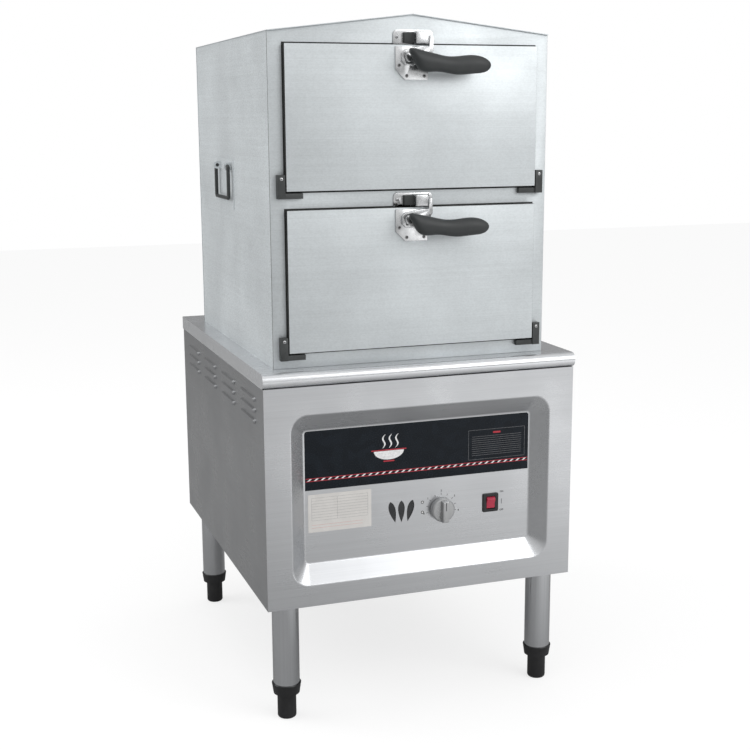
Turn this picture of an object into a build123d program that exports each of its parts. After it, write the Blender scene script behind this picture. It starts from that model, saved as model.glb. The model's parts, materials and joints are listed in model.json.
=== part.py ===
from build123d import *
import os
from math import cos, radians, sin

# Rice noodle roll steamer: a gas furnace on four legs with a two-door steam cabinet on top.
# Millimetres. Z up, front towards -Y, origin at the middle of the footprint on the floor.

os.makedirs("parts", exist_ok=True)

# ---------------------------------------------------------------- driving dimensions

# Furnace body
body_width = 616.0
body_depth = 726.0
body_bottom = 232.0
body_height = 445.0
sheet = 1.5
flange_width = 16.0
lip_height = 27.5
roll_reach = 5.0
roll_return = 15.0
notch_depth = 30.0

# Pressed recess in the front panel
recess_width = 518.0
recess_height = 324.0
recess_corner = 33.0
recess_wall_run = 30.0
recess_floor_corner = 8.0
recess_depth = 25.0
recess_floor_trim = 8.0
recess_lift = 203.0
recess_rim_round = 5.0
recess_foot_round = 6.0

# Labels and controls on the recess floor
label_height = 115.0
label_inset = 2.5
label_thickness = 0.4
notice_width = 124.0
notice_height = 73.0
notice_inset = 7.5
notice_lift = 59.5
knob_x = 44.5
knob_lift = 78.0
knob_radius = 23.0
knob_skirt = 14.0
knob_grip_height = 12.0
knob_grip_width = 13.0
knob_standoff = 1.0
spindle_radius = 4.0
spindle_length = 34.0
switch_x = 147.5
switch_lift = 80.0
bezel_width = 33.0
bezel_height = 37.0
bezel_proud = 3.0
bezel_body_depth = 20.0
rocker_width = 17.0
rocker_radius = 12.2
rocker_axis_depth = 3.0
rocker_valley = 6.0
rocker_throw = 12.0
rocker_gap = 0.4
sight_count = 3
sight_x = -37.0
sight_spread = 17.5
sight_lift = 103.0
sight_length = 43.0
sight_belly = 9.0
sight_fan = 14.0

# Louvers
louver_length = 105.0
louver_height = 10.0
louver_proud = 3.5
louver_wall = 1.2
louver_pitch_y = 165.0
louver_pitch_z = 20.5
louver_columns = 4
louver_rows = 3
louver_taper = 30.0
louver_start = 115.5
louver_lift = 366.0
back_louver_columns = 3

# Legs and feet
leg_inset = 44.0
leg_radius = 25.4
leg_wall = 1.5
leg_bottom = 70.0
leg_bracket_size = 80.0
leg_bracket_thickness = 4.0
leg_collar_height = 36.0
leg_collar_wall = 4.0
leg_hole_gap = 0.5
socket_rim_radius = 28.0
socket_rim_height = 20.0
socket_rim_taper = 3.0
socket_plug_height = 30.0
foot_radius = 18.0
foot_round = 5.0
piece_gap = 0.3
foot_stem_radius = 8.0
foot_stem_length = 45.0
running_gap = 0.05

# Water pan and heat
pan_width = 443.0
pan_depth = 140.0
pan_rim = 14.0
shroud_radius = 165.0
shroud_wall = 2.0
burner_radius = 95.0
burner_height = 36.0
burner_bore = 30.0
burner_post_radius = 16.0
burner_gap = 12.0
burner_ports = 16
burner_port_ring = 63.0
pipe_radius = 10.5
pipe_wall = 2.5
pipe_bend = 24.0
pipe_hole_gap = 2.0
gas_pipe_from_side = 128.0
gas_pipe_lift = 68.0
gas_stub = 45.0
bulkhead_radius = 17.0
bulkhead_height = 8.0
valve_width = 44.0
valve_depth = 46.0
valve_height = 34.0
valve_setback = 12.0
drain_inset = 30.5
drain_lift = 68.0
drain_valve_length = 44.0
drain_valve_radius = 16.0
drain_spout_length = 12.0
lever_stem_radius = 5.0
lever_length = 60.0
lever_width = 14.0
lever_thickness = 4.0
cross_bore = 7.0

# Blower
blower_radius = 75.0
blower_width = 56.0
blower_wall = 1.5
blower_y_from_back = 112.0
blower_lift = 86.0
blower_x = -50.0
blower_duct = 44.0
impeller_radius = 58.0
impeller_width = 40.0
impeller_blades = 12
impeller_shaft_radius = 5.0
blower_eye_radius = 30.0
motor_radius = 38.0
motor_length = 86.0

# Power inlet on the back panel
inlet_from_side = 218.0
inlet_lift = 330.0
inlet_radius = 11.0
inlet_bore = 4.5
inlet_reach = 22.0
inlet_nut_radius = 15.0
inlet_nut_height = 6.0

# Steam cabinet
cabinet_width = 536.0
cabinet_depth = 598.0
cabinet_side_height = 593.0
cabinet_setback = 40.5
cabinet_shift = -9.0
gable_rise = 31.5
roof_overhang = 3.0
frame_sheet = 2.0
frame_jamb_depth = 18.0
side_inset = 1.0
side_flange = 16.0
bottom_rail = 29.0
middle_rail = 33.5
top_rail = 21.0
stile = 27.0
steam_opening = 400.0
steam_corner = 10.0

# Trays and their rails
rail_leg = 30.0
rail_upright = 20.0
rail_lift = 45.0
rail_end_gap = 20.0
tray_rim_overlap = 10.0
tray_rim = 14.0
tray_depth = 30.0
tray_length = 520.0
tray_sheet = 1.2
tray_corner = 18.0

# Doors
lower_door_height = 256.0
door_depth = 9.0
door_sheet = 1.2
door_liner_sheet = 1.0
door_overlap = 12.0
door_stand = 12.0
gasket_width = 6.0
gasket_clear = 0.2
hinge_up = 5.0
hinge_back = 5.0
hinge_pin_radius = 2.5
hinge_pin_grip = 12.0
hinge_block_length = 22.0
hinge_block_height = 10.0
hinge_side_gap = 2.0
hinge_under_gap = 3.5
bracket_upright = 42.0
bracket_upright_width = 14.0
bracket_foot_length = 47.0
bracket_foot_height = 9.5
bracket_foot_depth = 9.0

# Latches, measured from the middle of the door's top edge
latch_plate_thickness = 2.5
latch_plate_left = -38.0
latch_plate_right = 24.0
latch_plate_drop = 61.0
latch_plate_top_gap = 3.0
latch_plate_chamfer = 18.0
pivot_x = -14.0
pivot_drop = 22.0
pivot_radius = 5.0
pivot_head_radius = 8.0
pivot_head_height = 2.3
lever_gap = 1.5
lever_plate = 6.0
striker_left = -1.6
striker_width = 23.8
striker_height = 21.0
striker_proud = 12.0
striker_lift = 2.0
lug_gap = 1.5
lug_width = 7.8
lug_rise = 18.0
keeper_left = -38.0
keeper_right = 38.0
keeper_height = 25.0
keeper_lift = 1.5
keeper_sheet = 2.0
keeper_corner = 8.0
keeper_shoulder_width = 18.0
keeper_shoulder_proud = 9.0
post_x = 7.0
post_drop = 20.0
post_radius = 5.5
tang_length = 14.0
grip_standoff = 26.0
# Cross-sections of the grip: distance right of the middle, drop of its centre, half height, half depth
grip_stations = (
    (-24.0, 13.0, 5.0, 5.0),
    (-18.0, 17.0, 9.5, 9.5),
    (-6.0, 27.0, 17.0, 12.5),
    (10.0, 31.0, 17.5, 13.0),
    (43.0, 35.0, 14.5, 11.5),
    (90.0, 35.0, 16.5, 13.0),
    (115.0, 35.5, 13.5, 11.0),
    (126.0, 36.0, 8.0, 7.0),
    (129.5, 36.0, 3.0, 3.0),
)
screw_head_radius = 3.2
screw_head_height = 1.6
screw_margin = 7.0
latch_screw_height = 0.8
screws_per_edge = 4

# Carrying bails on the cabinet's sides
bail_plate_width = 125.0
bail_plate_height = 97.0
bail_plate_lift = 270.0
bail_plate_setback = 279.5
bail_rod = 3.5
bail_standoff = 9.0
bail_drop_from_top = 14.0
bail_length = 62.0
bail_bend = 5.0
ear_spacing = 90.0
ear_thickness = 8.0
ear_radius = 7.5
ear_gap = 1.0

# ---------------------------------------------------------------- places that follow from them

grip_half_depth = max(station[3] for station in grip_stations)
grip_reach = grip_standoff + 2 * grip_half_depth
door_front_setback = cabinet_setback - door_stand
front_reach = grip_reach - door_front_setback
rear_reach = drain_valve_length + drain_spout_length + pipe_wall
total_depth = front_reach + body_depth + rear_reach

body_front = front_reach - total_depth / 2
body_back = body_front + body_depth
body_half = body_width / 2
body_top = body_bottom + body_height
lip_half = body_half + sheet
lip_bottom = body_top - lip_height
roll_radius = lip_height / 2
roll_y = body_front - roll_reach + roll_radius
roll_z = body_top - roll_radius
floor_bottom = body_bottom + sheet
floor_top = floor_bottom + sheet

recess_z = body_bottom + recess_lift
recess_floor_width = recess_width - 2 * recess_wall_run
recess_floor_height = recess_height - 2 * recess_wall_run - recess_floor_trim
recess_floor_y = body_front + recess_depth
recess_floor_bottom = recess_z - recess_floor_height / 2
recess_floor_top = recess_z + recess_floor_height / 2
knob_z = recess_floor_bottom + knob_lift
switch_z = recess_floor_bottom + switch_lift

cabinet_front = body_front + cabinet_setback
cabinet_back = cabinet_front + cabinet_depth
cabinet_half = cabinet_width / 2
cabinet_y = (cabinet_front + cabinet_back) / 2
eaves_z = body_top + cabinet_side_height
side_outer = cabinet_half - side_inset
side_inner = side_outer - sheet
frame_back = cabinet_front + frame_sheet
cabinet_inside_back = cabinet_back - sheet

door_half = cabinet_half - stile
door_front = cabinet_front - door_stand
door_back = door_front + door_depth
lower_door_bottom = body_top + bottom_rail
lower_door_top = lower_door_bottom + lower_door_height
upper_door_bottom = lower_door_top + middle_rail
upper_door_height = eaves_z - top_rail - upper_door_bottom
upper_door_top = upper_door_bottom + upper_door_height
hinge_y = door_front + hinge_back
opening_half = door_half - door_overlap

pan_floor = body_top - sheet - pan_depth
burner_z = knob_z
blower_y = body_back - blower_y_from_back
blower_z = floor_top + blower_lift
gas_pipe_z = body_bottom + gas_pipe_lift
drain_z = body_bottom + drain_lift
drain_x = cabinet_shift - pan_width / 2 + drain_inset
drain_y = cabinet_y + pan_width / 2 - drain_inset
gas_pipe_x = body_half - gas_pipe_from_side
inlet_x = body_half - inlet_from_side
valve_front = recess_floor_y + sheet + valve_setback
valve_back = valve_front + valve_depth

leg_xs = (-body_half + leg_inset, body_half - leg_inset)
leg_ys = (body_front + leg_inset, body_back - leg_inset)
leg_places = [(x, y) for y in leg_ys for x in leg_xs]
leg_top = floor_top + leg_bracket_thickness + leg_collar_height
socket_bottom = leg_bottom - socket_rim_height

# ---------------------------------------------------------------- small helpers


def facing_front(y):
    """Drawing plane seen from the front: X to the right, Z up, its normal towards the front."""
    return Plane(origin=(0, y, 0), x_dir=(1, 0, 0), z_dir=(0, -1, 0))


def facing_right(x):
    """Drawing plane seen from the right: Y to the right, Z up, its normal towards +X."""
    return Plane(origin=(x, 0, 0), x_dir=(0, 1, 0), z_dir=(1, 0, 0))


def block(x_span, y_span, z_span, mode=Mode.ADD):
    """Box between pairs of coordinates, in the part that is being built."""
    spans = [sorted(span) for span in (x_span, y_span, z_span)]
    middle = [sum(span) / 2 for span in spans]
    size = [span[1] - span[0] for span in spans]
    with Locations(tuple(middle)):
        Box(*size, mode=mode)


def rod_x(radius, y, z, x_span, mode=Mode.ADD):
    """Round bar along X."""
    with Locations(Location((sum(x_span) / 2, y, z), (0, 90, 0))):
        Cylinder(radius, abs(x_span[1] - x_span[0]), mode=mode)


def rod_y(radius, x, z, y_span, mode=Mode.ADD):
    """Round bar along Y."""
    with Locations(Location((x, sum(y_span) / 2, z), (90, 0, 0))):
        Cylinder(radius, abs(y_span[1] - y_span[0]), mode=mode)


def rod_z(radius, x, y, z_span, mode=Mode.ADD):
    """Round bar along Z."""
    with Locations(Location((x, y, sum(z_span) / 2))):
        Cylinder(radius, abs(z_span[1] - z_span[0]), mode=mode)


def save(part, name):
    """Label a finished piece and write it out."""
    part.label = name
    export_step(part, f"parts/{name}.step")


# ---------------------------------------------------------------- furnace: sheet metal


def make_top_plate():
    """Top sheet with side and rear lips, a steam opening and a rolled front edge."""
    with BuildPart() as top_plate:
        depth = (roll_y, body_back + sheet)
        block((-lip_half, lip_half), depth, (body_top - sheet, body_top))
        for side in (-1, 1):
            block((side * body_half, side * lip_half), depth, (lip_bottom, body_top))
            rod_x(roll_radius, roll_y, roll_z, (side * body_half, side * lip_half))
        block((-lip_half, lip_half), (body_back, body_back + sheet), (lip_bottom, body_top))
        with BuildSketch(facing_right(-body_half)):
            with Locations((roll_y, roll_z)):
                Circle(roll_radius)
                Circle(roll_radius - sheet, mode=Mode.SUBTRACT)
            with Locations((roll_y + roll_radius, roll_z)):
                Rectangle(2 * roll_radius, 2 * roll_radius, mode=Mode.SUBTRACT)
        extrude(amount=body_width)
        block((-body_half, body_half), (roll_y, roll_y + roll_return), (lip_bottom, lip_bottom + sheet))
        with BuildSketch(Plane.XY.offset(body_top)):
            with Locations((cabinet_shift, cabinet_y)):
                RectangleRounded(steam_opening, steam_opening, steam_corner)
        extrude(amount=-sheet, mode=Mode.SUBTRACT)
    save(top_plate.part, "top_plate")


def make_front_panel():
    """Front sheet with a deep pressed recess, cut for the knob, the switch and three flame sights."""
    inner_half = body_half - sheet
    with BuildPart() as front_panel:
        block((-body_half, body_half), (body_front, body_front + sheet), (body_bottom, lip_bottom))
        flange = (body_front, body_front + flange_width)
        block((-inner_half, inner_half), flange, (lip_bottom - sheet, lip_bottom))
        block((-inner_half, inner_half), flange, (body_bottom, floor_bottom))
        with BuildSketch(facing_front(body_front)):
            with Locations((0, recess_z)):
                RectangleRounded(
                    recess_width + 2 * sheet, recess_height + 2 * sheet, recess_corner + sheet
                )
        with BuildSketch(facing_front(recess_floor_y + sheet)):
            with Locations((0, recess_z)):
                RectangleRounded(
                    recess_floor_width + 2 * sheet,
                    recess_floor_height + 2 * sheet,
                    recess_floor_corner + sheet,
                )
        loft()
        with BuildSketch(facing_front(body_front)):
            with Locations((0, recess_z)):
                RectangleRounded(recess_width, recess_height, recess_corner)
        with BuildSketch(facing_front(recess_floor_y)):
            with Locations((0, recess_z)):
                RectangleRounded(recess_floor_width, recess_floor_height, recess_floor_corner)
        loft(mode=Mode.SUBTRACT)
        front_edges = front_panel.edges().group_by(Axis.Y)[0]
        recess_rim = front_edges.filter_by(lambda edge: abs(edge.center().X) <= recess_width / 2 and (
            abs(edge.center().Z - recess_z) <= recess_height / 2
        ))
        fillet(recess_rim, recess_rim_round)
        recess_foot = front_panel.edges().filter_by_position(Axis.Y, recess_floor_y, recess_floor_y)
        fillet(recess_foot, recess_foot_round)
        through = (recess_floor_y, recess_floor_y + sheet)
        rod_y(spindle_radius + running_gap, knob_x, knob_z, through, Mode.SUBTRACT)
        block(
            (switch_x - rocker_width / 2 - sheet, switch_x + rocker_width / 2 + sheet),
            through,
            (switch_z - rocker_radius - sheet, switch_z + rocker_radius + sheet),
            Mode.SUBTRACT,
        )
        for number in range(sight_count):
            step = number - (sight_count - 1) / 2
            lean = radians(step * sight_fan)
            leaf_plane = Plane(
                origin=(
                    sight_x + step * sight_spread,
                    recess_floor_y,
                    recess_floor_bottom + sight_lift - sight_length / 2,
                ),
                x_dir=(cos(lean), 0, -sin(lean)),
                z_dir=(0, -1, 0),
            )
            top = (0, sight_length / 2)
            tail = (0, -sight_length / 2)
            with BuildSketch(leaf_plane):
                with BuildLine():
                    Bezier(top, (sight_belly, sight_length / 3), (sight_belly, 0), tail)
                    Bezier(tail, (-sight_belly, 0), (-sight_belly, sight_length / 3), top)
                make_face()
            extrude(amount=-sheet, mode=Mode.SUBTRACT)
    save(front_panel.part, "front_panel")


def make_side_panel(side, name):
    """Side sheet with inward flanges and rows of pressed louvers."""
    outer = side * body_half
    inner = side * (body_half - sheet)
    front = body_front + sheet
    back = body_back - sheet
    louver_y = body_front + louver_start + (louver_columns - 1) * louver_pitch_y / 2
    louver_z = body_bottom + louver_lift
    with BuildPart() as side_panel:
        block((inner, outer), (front, back), (body_bottom, body_top - sheet))
        block(
            (inner, side * (body_half - flange_width)),
            (body_front + flange_width, body_back - flange_width),
            (body_bottom, floor_bottom),
        )
        notch = (front, body_front + notch_depth)
        block((inner, outer), notch, (lip_bottom, body_top - sheet), Mode.SUBTRACT)
        middle = (louver_y, louver_z)
        with BuildSketch(facing_right(outer)):
            with Locations(middle):
                with GridLocations(louver_pitch_y, louver_pitch_z, louver_columns, louver_rows):
                    SlotOverall(louver_length, louver_height)
        extrude(amount=side * louver_proud, taper=louver_taper)
        with BuildSketch(facing_right(inner)):
            with Locations(middle):
                with GridLocations(louver_pitch_y, louver_pitch_z, louver_columns, louver_rows):
                    SlotOverall(louver_length - 4 * louver_wall, louver_height - 4 * louver_wall)
        extrude(amount=side * (sheet + louver_proud - louver_wall), mode=Mode.SUBTRACT)
        with BuildSketch(facing_right(outer)):
            with Locations((louver_y, louver_z - louver_height / 2)):
                with GridLocations(louver_pitch_y, louver_pitch_z, louver_columns, louver_rows):
                    Rectangle(louver_length - louver_height, louver_height)
        extrude(amount=side * (louver_proud - louver_wall), mode=Mode.SUBTRACT)
    save(side_panel.part, name)


def make_back_panel():
    """Back sheet with pipe holes, the power inlet's hole and exhaust slots."""
    with BuildPart() as back_panel:
        wall = (body_back - sheet, body_back)
        block((-body_half, body_half), wall, (body_bottom, body_top - sheet))
        rod_y(pipe_radius + pipe_hole_gap, gas_pipe_x, gas_pipe_z, wall, Mode.SUBTRACT)
        rod_y(pipe_radius + pipe_hole_gap, drain_x, drain_z, wall, Mode.SUBTRACT)
        rod_y(inlet_radius + piece_gap, inlet_x, body_bottom + inlet_lift, wall, Mode.SUBTRACT)
        with BuildSketch(facing_front(body_back)):
            with Locations((0, body_bottom + louver_lift)):
                with GridLocations(louver_pitch_y, louver_pitch_z, back_louver_columns, louver_rows):
                    SlotOverall(louver_length, louver_height)
        extrude(amount=sheet, mode=Mode.SUBTRACT)
    save(back_panel.part, "back_panel")


def make_floor_plate():
    """Bottom sheet on the panels' flanges, with holes for the legs."""
    with BuildPart() as floor_plate:
        block(
            (-body_half + sheet, body_half - sheet),
            (body_front + sheet, body_back - sheet),
            (floor_bottom, floor_top),
        )
        for x, y in leg_places:
            rod_z(leg_radius + leg_hole_gap, x, y, (floor_bottom, floor_top), Mode.SUBTRACT)
    save(floor_plate.part, "floor_plate")


# ---------------------------------------------------------------- furnace: legs and feet


def make_legs():
    """Bracket plates with collars, the leg tubes and the sockets in their lower ends."""
    half = leg_bracket_size / 2
    plate_top = floor_top + leg_bracket_thickness
    with BuildPart() as leg_brackets:
        for x, y in leg_places:
            block((x - half, x + half), (y - half, y + half), (floor_top, plate_top))
            rod_z(leg_radius + leg_collar_wall, x, y, (plate_top, leg_top))
            rod_z(leg_radius, x, y, (floor_top, leg_top), Mode.SUBTRACT)
    save(leg_brackets.part, "leg_brackets")

    with BuildPart() as leg_tubes:
        for x, y in leg_places:
            rod_z(leg_radius, x, y, (leg_bottom, leg_top))
            rod_z(leg_radius - leg_wall, x, y, (leg_bottom, leg_top), Mode.SUBTRACT)
    save(leg_tubes.part, "leg_tubes")

    with BuildPart() as foot_sockets:
        for x, y in leg_places:
            with Locations((x, y, socket_bottom + socket_rim_height / 2)):
                Cone(socket_rim_radius - socket_rim_taper, socket_rim_radius, socket_rim_height)
            rod_z(leg_radius - leg_wall, x, y, (leg_bottom, leg_bottom + socket_plug_height))
            bore_top = leg_bottom + socket_plug_height
            rod_z(foot_stem_radius + running_gap, x, y, (socket_bottom, bore_top), Mode.SUBTRACT)
    save(foot_sockets.part, "foot_sockets")


def make_foot(place, name):
    """Round foot on a stem that screws up into its socket."""
    x, y = place
    top = socket_bottom - piece_gap
    with BuildPart() as foot:
        rod_z(foot_radius, x, y, (0, top))
        fillet(foot.edges().filter_by(GeomType.CIRCLE).group_by(Axis.Z)[0], foot_round)
        rod_z(foot_stem_radius, x, y, (top, top + foot_stem_length))
    save(foot.part, name)


# ---------------------------------------------------------------- furnace: water and heat


def make_water_pan():
    """Pan under the steam opening, hung by its rim."""
    half = pan_width / 2
    with BuildPart() as water_pan:
        with Locations((cabinet_shift, cabinet_y, pan_floor + pan_depth / 2)):
            Box(pan_width, pan_width, pan_depth)
            with Locations((0, 0, sheet)):
                Box(pan_width - 2 * sheet, pan_width - 2 * sheet, pan_depth, mode=Mode.SUBTRACT)
        rim_top = pan_floor + pan_depth
        with BuildSketch(Plane.XY.offset(rim_top)):
            with Locations((cabinet_shift, cabinet_y)):
                Rectangle(pan_width + 2 * pan_rim, pan_width + 2 * pan_rim)
                Rectangle(pan_width - 2 * sheet, pan_width - 2 * sheet, mode=Mode.SUBTRACT)
        extrude(amount=-sheet)
        rod_z(pipe_radius, drain_x, drain_y, (pan_floor, pan_floor + sheet), Mode.SUBTRACT)
    save(water_pan.part, "water_pan")


def make_burner():
    """Ring burner on a post, inside its shroud."""
    with BuildPart() as burner:
        low = burner_z - burner_height / 2
        high = burner_z + burner_height / 2
        rod_z(burner_radius, cabinet_shift, cabinet_y, (low, high))
        rod_z(burner_bore, cabinet_shift, cabinet_y, (burner_z, high), Mode.SUBTRACT)
        rod_z(burner_post_radius, cabinet_shift, cabinet_y, (floor_top, low))
        with Locations((cabinet_shift, cabinet_y, high)):
            with PolarLocations(burner_port_ring, burner_ports):
                Hole(pipe_wall, depth=burner_height / 3)
    save(burner.part, "burner")

    with BuildPart() as combustion_shroud:
        rod_z(shroud_radius, cabinet_shift, cabinet_y, (floor_top, pan_floor))
        bore = shroud_radius - shroud_wall
        rod_z(bore, cabinet_shift, cabinet_y, (floor_top, pan_floor), Mode.SUBTRACT)
        rod_y(
            pipe_radius + pipe_hole_gap,
            knob_x,
            burner_z,
            (cabinet_y - shroud_radius - shroud_wall, cabinet_y),
            Mode.SUBTRACT,
        )
        block(
            (blower_x - blower_duct / 2, blower_x + blower_duct / 2),
            (cabinet_y, cabinet_y + shroud_radius + shroud_wall),
            (floor_top + blower_wall, floor_top + blower_wall + blower_duct),
            Mode.SUBTRACT,
        )
    save(combustion_shroud.part, "combustion_shroud")


def make_gas_line():
    """Supply pipe from the back to the control valve, and the feed from the valve to the burner."""
    valve_y = (valve_front + valve_back) / 2
    valve_side = knob_x + valve_width / 2
    route = [
        (gas_pipe_x, body_back + gas_stub, gas_pipe_z),
        (gas_pipe_x, valve_y, gas_pipe_z),
        (gas_pipe_x, valve_y, knob_z),
        (valve_side, valve_y, knob_z),
    ]
    burner_side = cabinet_y - (burner_radius**2 - (knob_x - cabinet_shift) ** 2) ** 0.5
    with BuildPart() as gas_pipe:
        with BuildLine():
            FilletPolyline(*route, radius=pipe_bend)
        with BuildSketch(facing_front(body_back + gas_stub)):
            with Locations((gas_pipe_x, gas_pipe_z)):
                Circle(pipe_radius)
                Circle(pipe_radius - pipe_wall, mode=Mode.SUBTRACT)
        sweep()
        rod_y(pipe_radius, knob_x, burner_z, (valve_back, burner_side - burner_gap))
        with BuildSketch(facing_front(body_back + bulkhead_height)):
            with Locations((gas_pipe_x, gas_pipe_z)):
                RegularPolygon(bulkhead_radius, 6)
                Circle(pipe_radius - pipe_wall / 2, mode=Mode.SUBTRACT)
        extrude(amount=bulkhead_height)
    save(gas_pipe.part, "gas_pipe")

    with BuildPart() as gas_valve:
        block(
            (knob_x - valve_width / 2, valve_side),
            (valve_front, valve_back),
            (knob_z - valve_height / 2, knob_z + valve_height / 2),
        )
        fillet(gas_valve.edges().filter_by(Axis.Y), running_gap + pipe_wall)
        rod_y(pipe_radius, knob_x, knob_z, (recess_floor_y + sheet, valve_front))
        stem_end = recess_floor_y - knob_standoff + spindle_length
        rod_y(spindle_radius + running_gap, knob_x, knob_z, (recess_floor_y, stem_end), Mode.SUBTRACT)
    save(gas_valve.part, "gas_valve")


def make_drain():
    """Drain pipe from the pan to the back, a ball valve outside and its lever."""
    valve_front_y = body_back + pipe_wall
    valve_end = valve_front_y + drain_valve_length
    route = [
        (drain_x, drain_y, pan_floor + sheet),
        (drain_x, drain_y, drain_z),
        (drain_x, valve_front_y, drain_z),
    ]
    with BuildPart() as drain_pipe:
        with BuildLine():
            FilletPolyline(*route, radius=pipe_bend)
        with BuildSketch(Plane.XY.offset(pan_floor + sheet)):
            with Locations((drain_x, drain_y)):
                Circle(pipe_radius)
                Circle(pipe_radius - pipe_wall, mode=Mode.SUBTRACT)
        sweep()
    save(drain_pipe.part, "drain_pipe")

    spout_end = valve_end + drain_spout_length
    stem_y = (valve_front_y + valve_end) / 2
    stem_base = drain_z + drain_valve_radius
    boss_radius = lever_stem_radius + pipe_wall
    with BuildPart() as drain_valve:
        rod_y(drain_valve_radius, drain_x, drain_z, (valve_front_y, valve_end))
        chamfer(drain_valve.edges().filter_by(GeomType.CIRCLE), pipe_wall)
        rod_y(pipe_radius, drain_x, drain_z, (valve_end - pipe_wall, spout_end))
        rod_z(boss_radius, drain_x, stem_y, (drain_z, stem_base + pipe_wall))
        rod_y(pipe_radius - pipe_wall, drain_x, drain_z, (valve_front_y, spout_end), Mode.SUBTRACT)
        rod_z(
            lever_stem_radius + running_gap,
            drain_x,
            stem_y,
            (drain_z + cross_bore, stem_base + pipe_wall),
            Mode.SUBTRACT,
        )
    save(drain_valve.part, "drain_valve")

    lever_bottom = stem_base + pipe_wall + piece_gap
    with BuildPart() as drain_lever:
        rod_z(lever_stem_radius, drain_x, stem_y, (drain_z + pipe_radius, lever_bottom))
        rod_z(boss_radius, drain_x, stem_y, (lever_bottom, lever_bottom + lever_thickness))
        with BuildSketch(Plane.XY.offset(lever_bottom)):
            with Locations((drain_x + lever_length / 2, stem_y)):
                SlotOverall(lever_length + lever_width, lever_width)
        extrude(amount=lever_thickness)
    save(drain_lever.part, "drain_lever")


def make_blower():
    """Small centrifugal blower that feeds air to the burner: housing, impeller and motor."""
    left = blower_x - blower_width / 2
    right = blower_x + blower_width / 2
    duct_half = blower_duct / 2
    duct_low = floor_top + blower_wall
    duct_start = cabinet_y + shroud_radius / 2
    with BuildPart() as blower_housing:
        rod_x(blower_radius, blower_y, blower_z, (left, right))
        block((left, right), (duct_start, blower_y), (floor_top, duct_low + blower_duct + blower_wall))
        chamber = (left + blower_wall, right - blower_wall)
        rod_x(blower_radius - blower_wall, blower_y, blower_z, chamber, Mode.SUBTRACT)
        block(
            (blower_x - duct_half, blower_x + duct_half),
            (duct_start, blower_y),
            (duct_low, duct_low + blower_duct),
            Mode.SUBTRACT,
        )
        rod_z(shroud_radius + piece_gap, cabinet_shift, cabinet_y, (floor_top, blower_z), Mode.SUBTRACT)
        rod_x(blower_eye_radius, blower_y, blower_z, (right - blower_wall, right), Mode.SUBTRACT)
        shaft_bore = impeller_shaft_radius + running_gap
        rod_x(shaft_bore, blower_y, blower_z, (left, left + blower_wall), Mode.SUBTRACT)
    save(blower_housing.part, "blower_housing")

    shaft_end = left - motor_length / 3
    with BuildPart() as blower_motor:
        rod_x(motor_radius, blower_y, blower_z, (left - motor_length, left))
        fillet(blower_motor.faces().sort_by(Axis.X)[0].edges(), pipe_wall)
        block(
            (left - motor_length, left),
            (blower_y - motor_radius / 2, blower_y + motor_radius / 2),
            (floor_top, blower_z),
        )
        rod_x(shaft_bore, blower_y, blower_z, (shaft_end, left), Mode.SUBTRACT)
    save(blower_motor.part, "blower_motor")

    wheel_left = blower_x - impeller_width / 2
    wheel_right = blower_x + impeller_width / 2
    blade_depth = impeller_radius / 4
    with BuildPart() as blower_impeller:
        rod_x(impeller_radius, blower_y, blower_z, (wheel_left, wheel_left + blower_wall))
        front_ring = (wheel_right - blower_wall, wheel_right)
        rod_x(impeller_radius, blower_y, blower_z, front_ring)
        rod_x(impeller_radius - blade_depth, blower_y, blower_z, front_ring, Mode.SUBTRACT)
        rod_x(2 * impeller_shaft_radius, blower_y, blower_z, (wheel_left, blower_x))
        rod_x(impeller_shaft_radius, blower_y, blower_z, (shaft_end + piece_gap, wheel_left))
        with BuildSketch(facing_right(wheel_left)):
            with Locations((blower_y, blower_z)):
                with PolarLocations(impeller_radius - blade_depth / 2, impeller_blades):
                    Rectangle(blade_depth, blower_wall)
        extrude(amount=impeller_width)
    save(blower_impeller.part, "blower_impeller")


# ---------------------------------------------------------------- furnace: controls and trim


def make_control_knob():
    """Round knob with a raised grip bar, on the valve's spindle."""
    back = recess_floor_y - knob_standoff
    front = back - knob_skirt
    with BuildPart() as control_knob:
        rod_y(knob_radius, knob_x, knob_z, (front, back))
        chamfer(control_knob.faces().sort_by(Axis.Y)[0].edges(), pipe_wall)
        block(
            (knob_x - knob_grip_width / 2, knob_x + knob_grip_width / 2),
            (front - knob_grip_height, front),
            (knob_z - knob_radius + pipe_wall, knob_z + knob_radius - pipe_wall),
        )
        fillet(control_knob.faces().sort_by(Axis.Y)[0].edges(), pipe_wall)
        rod_y(spindle_radius, knob_x, knob_z, (back, back + spindle_length - piece_gap))
    save(control_knob.part, "control_knob")


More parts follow.
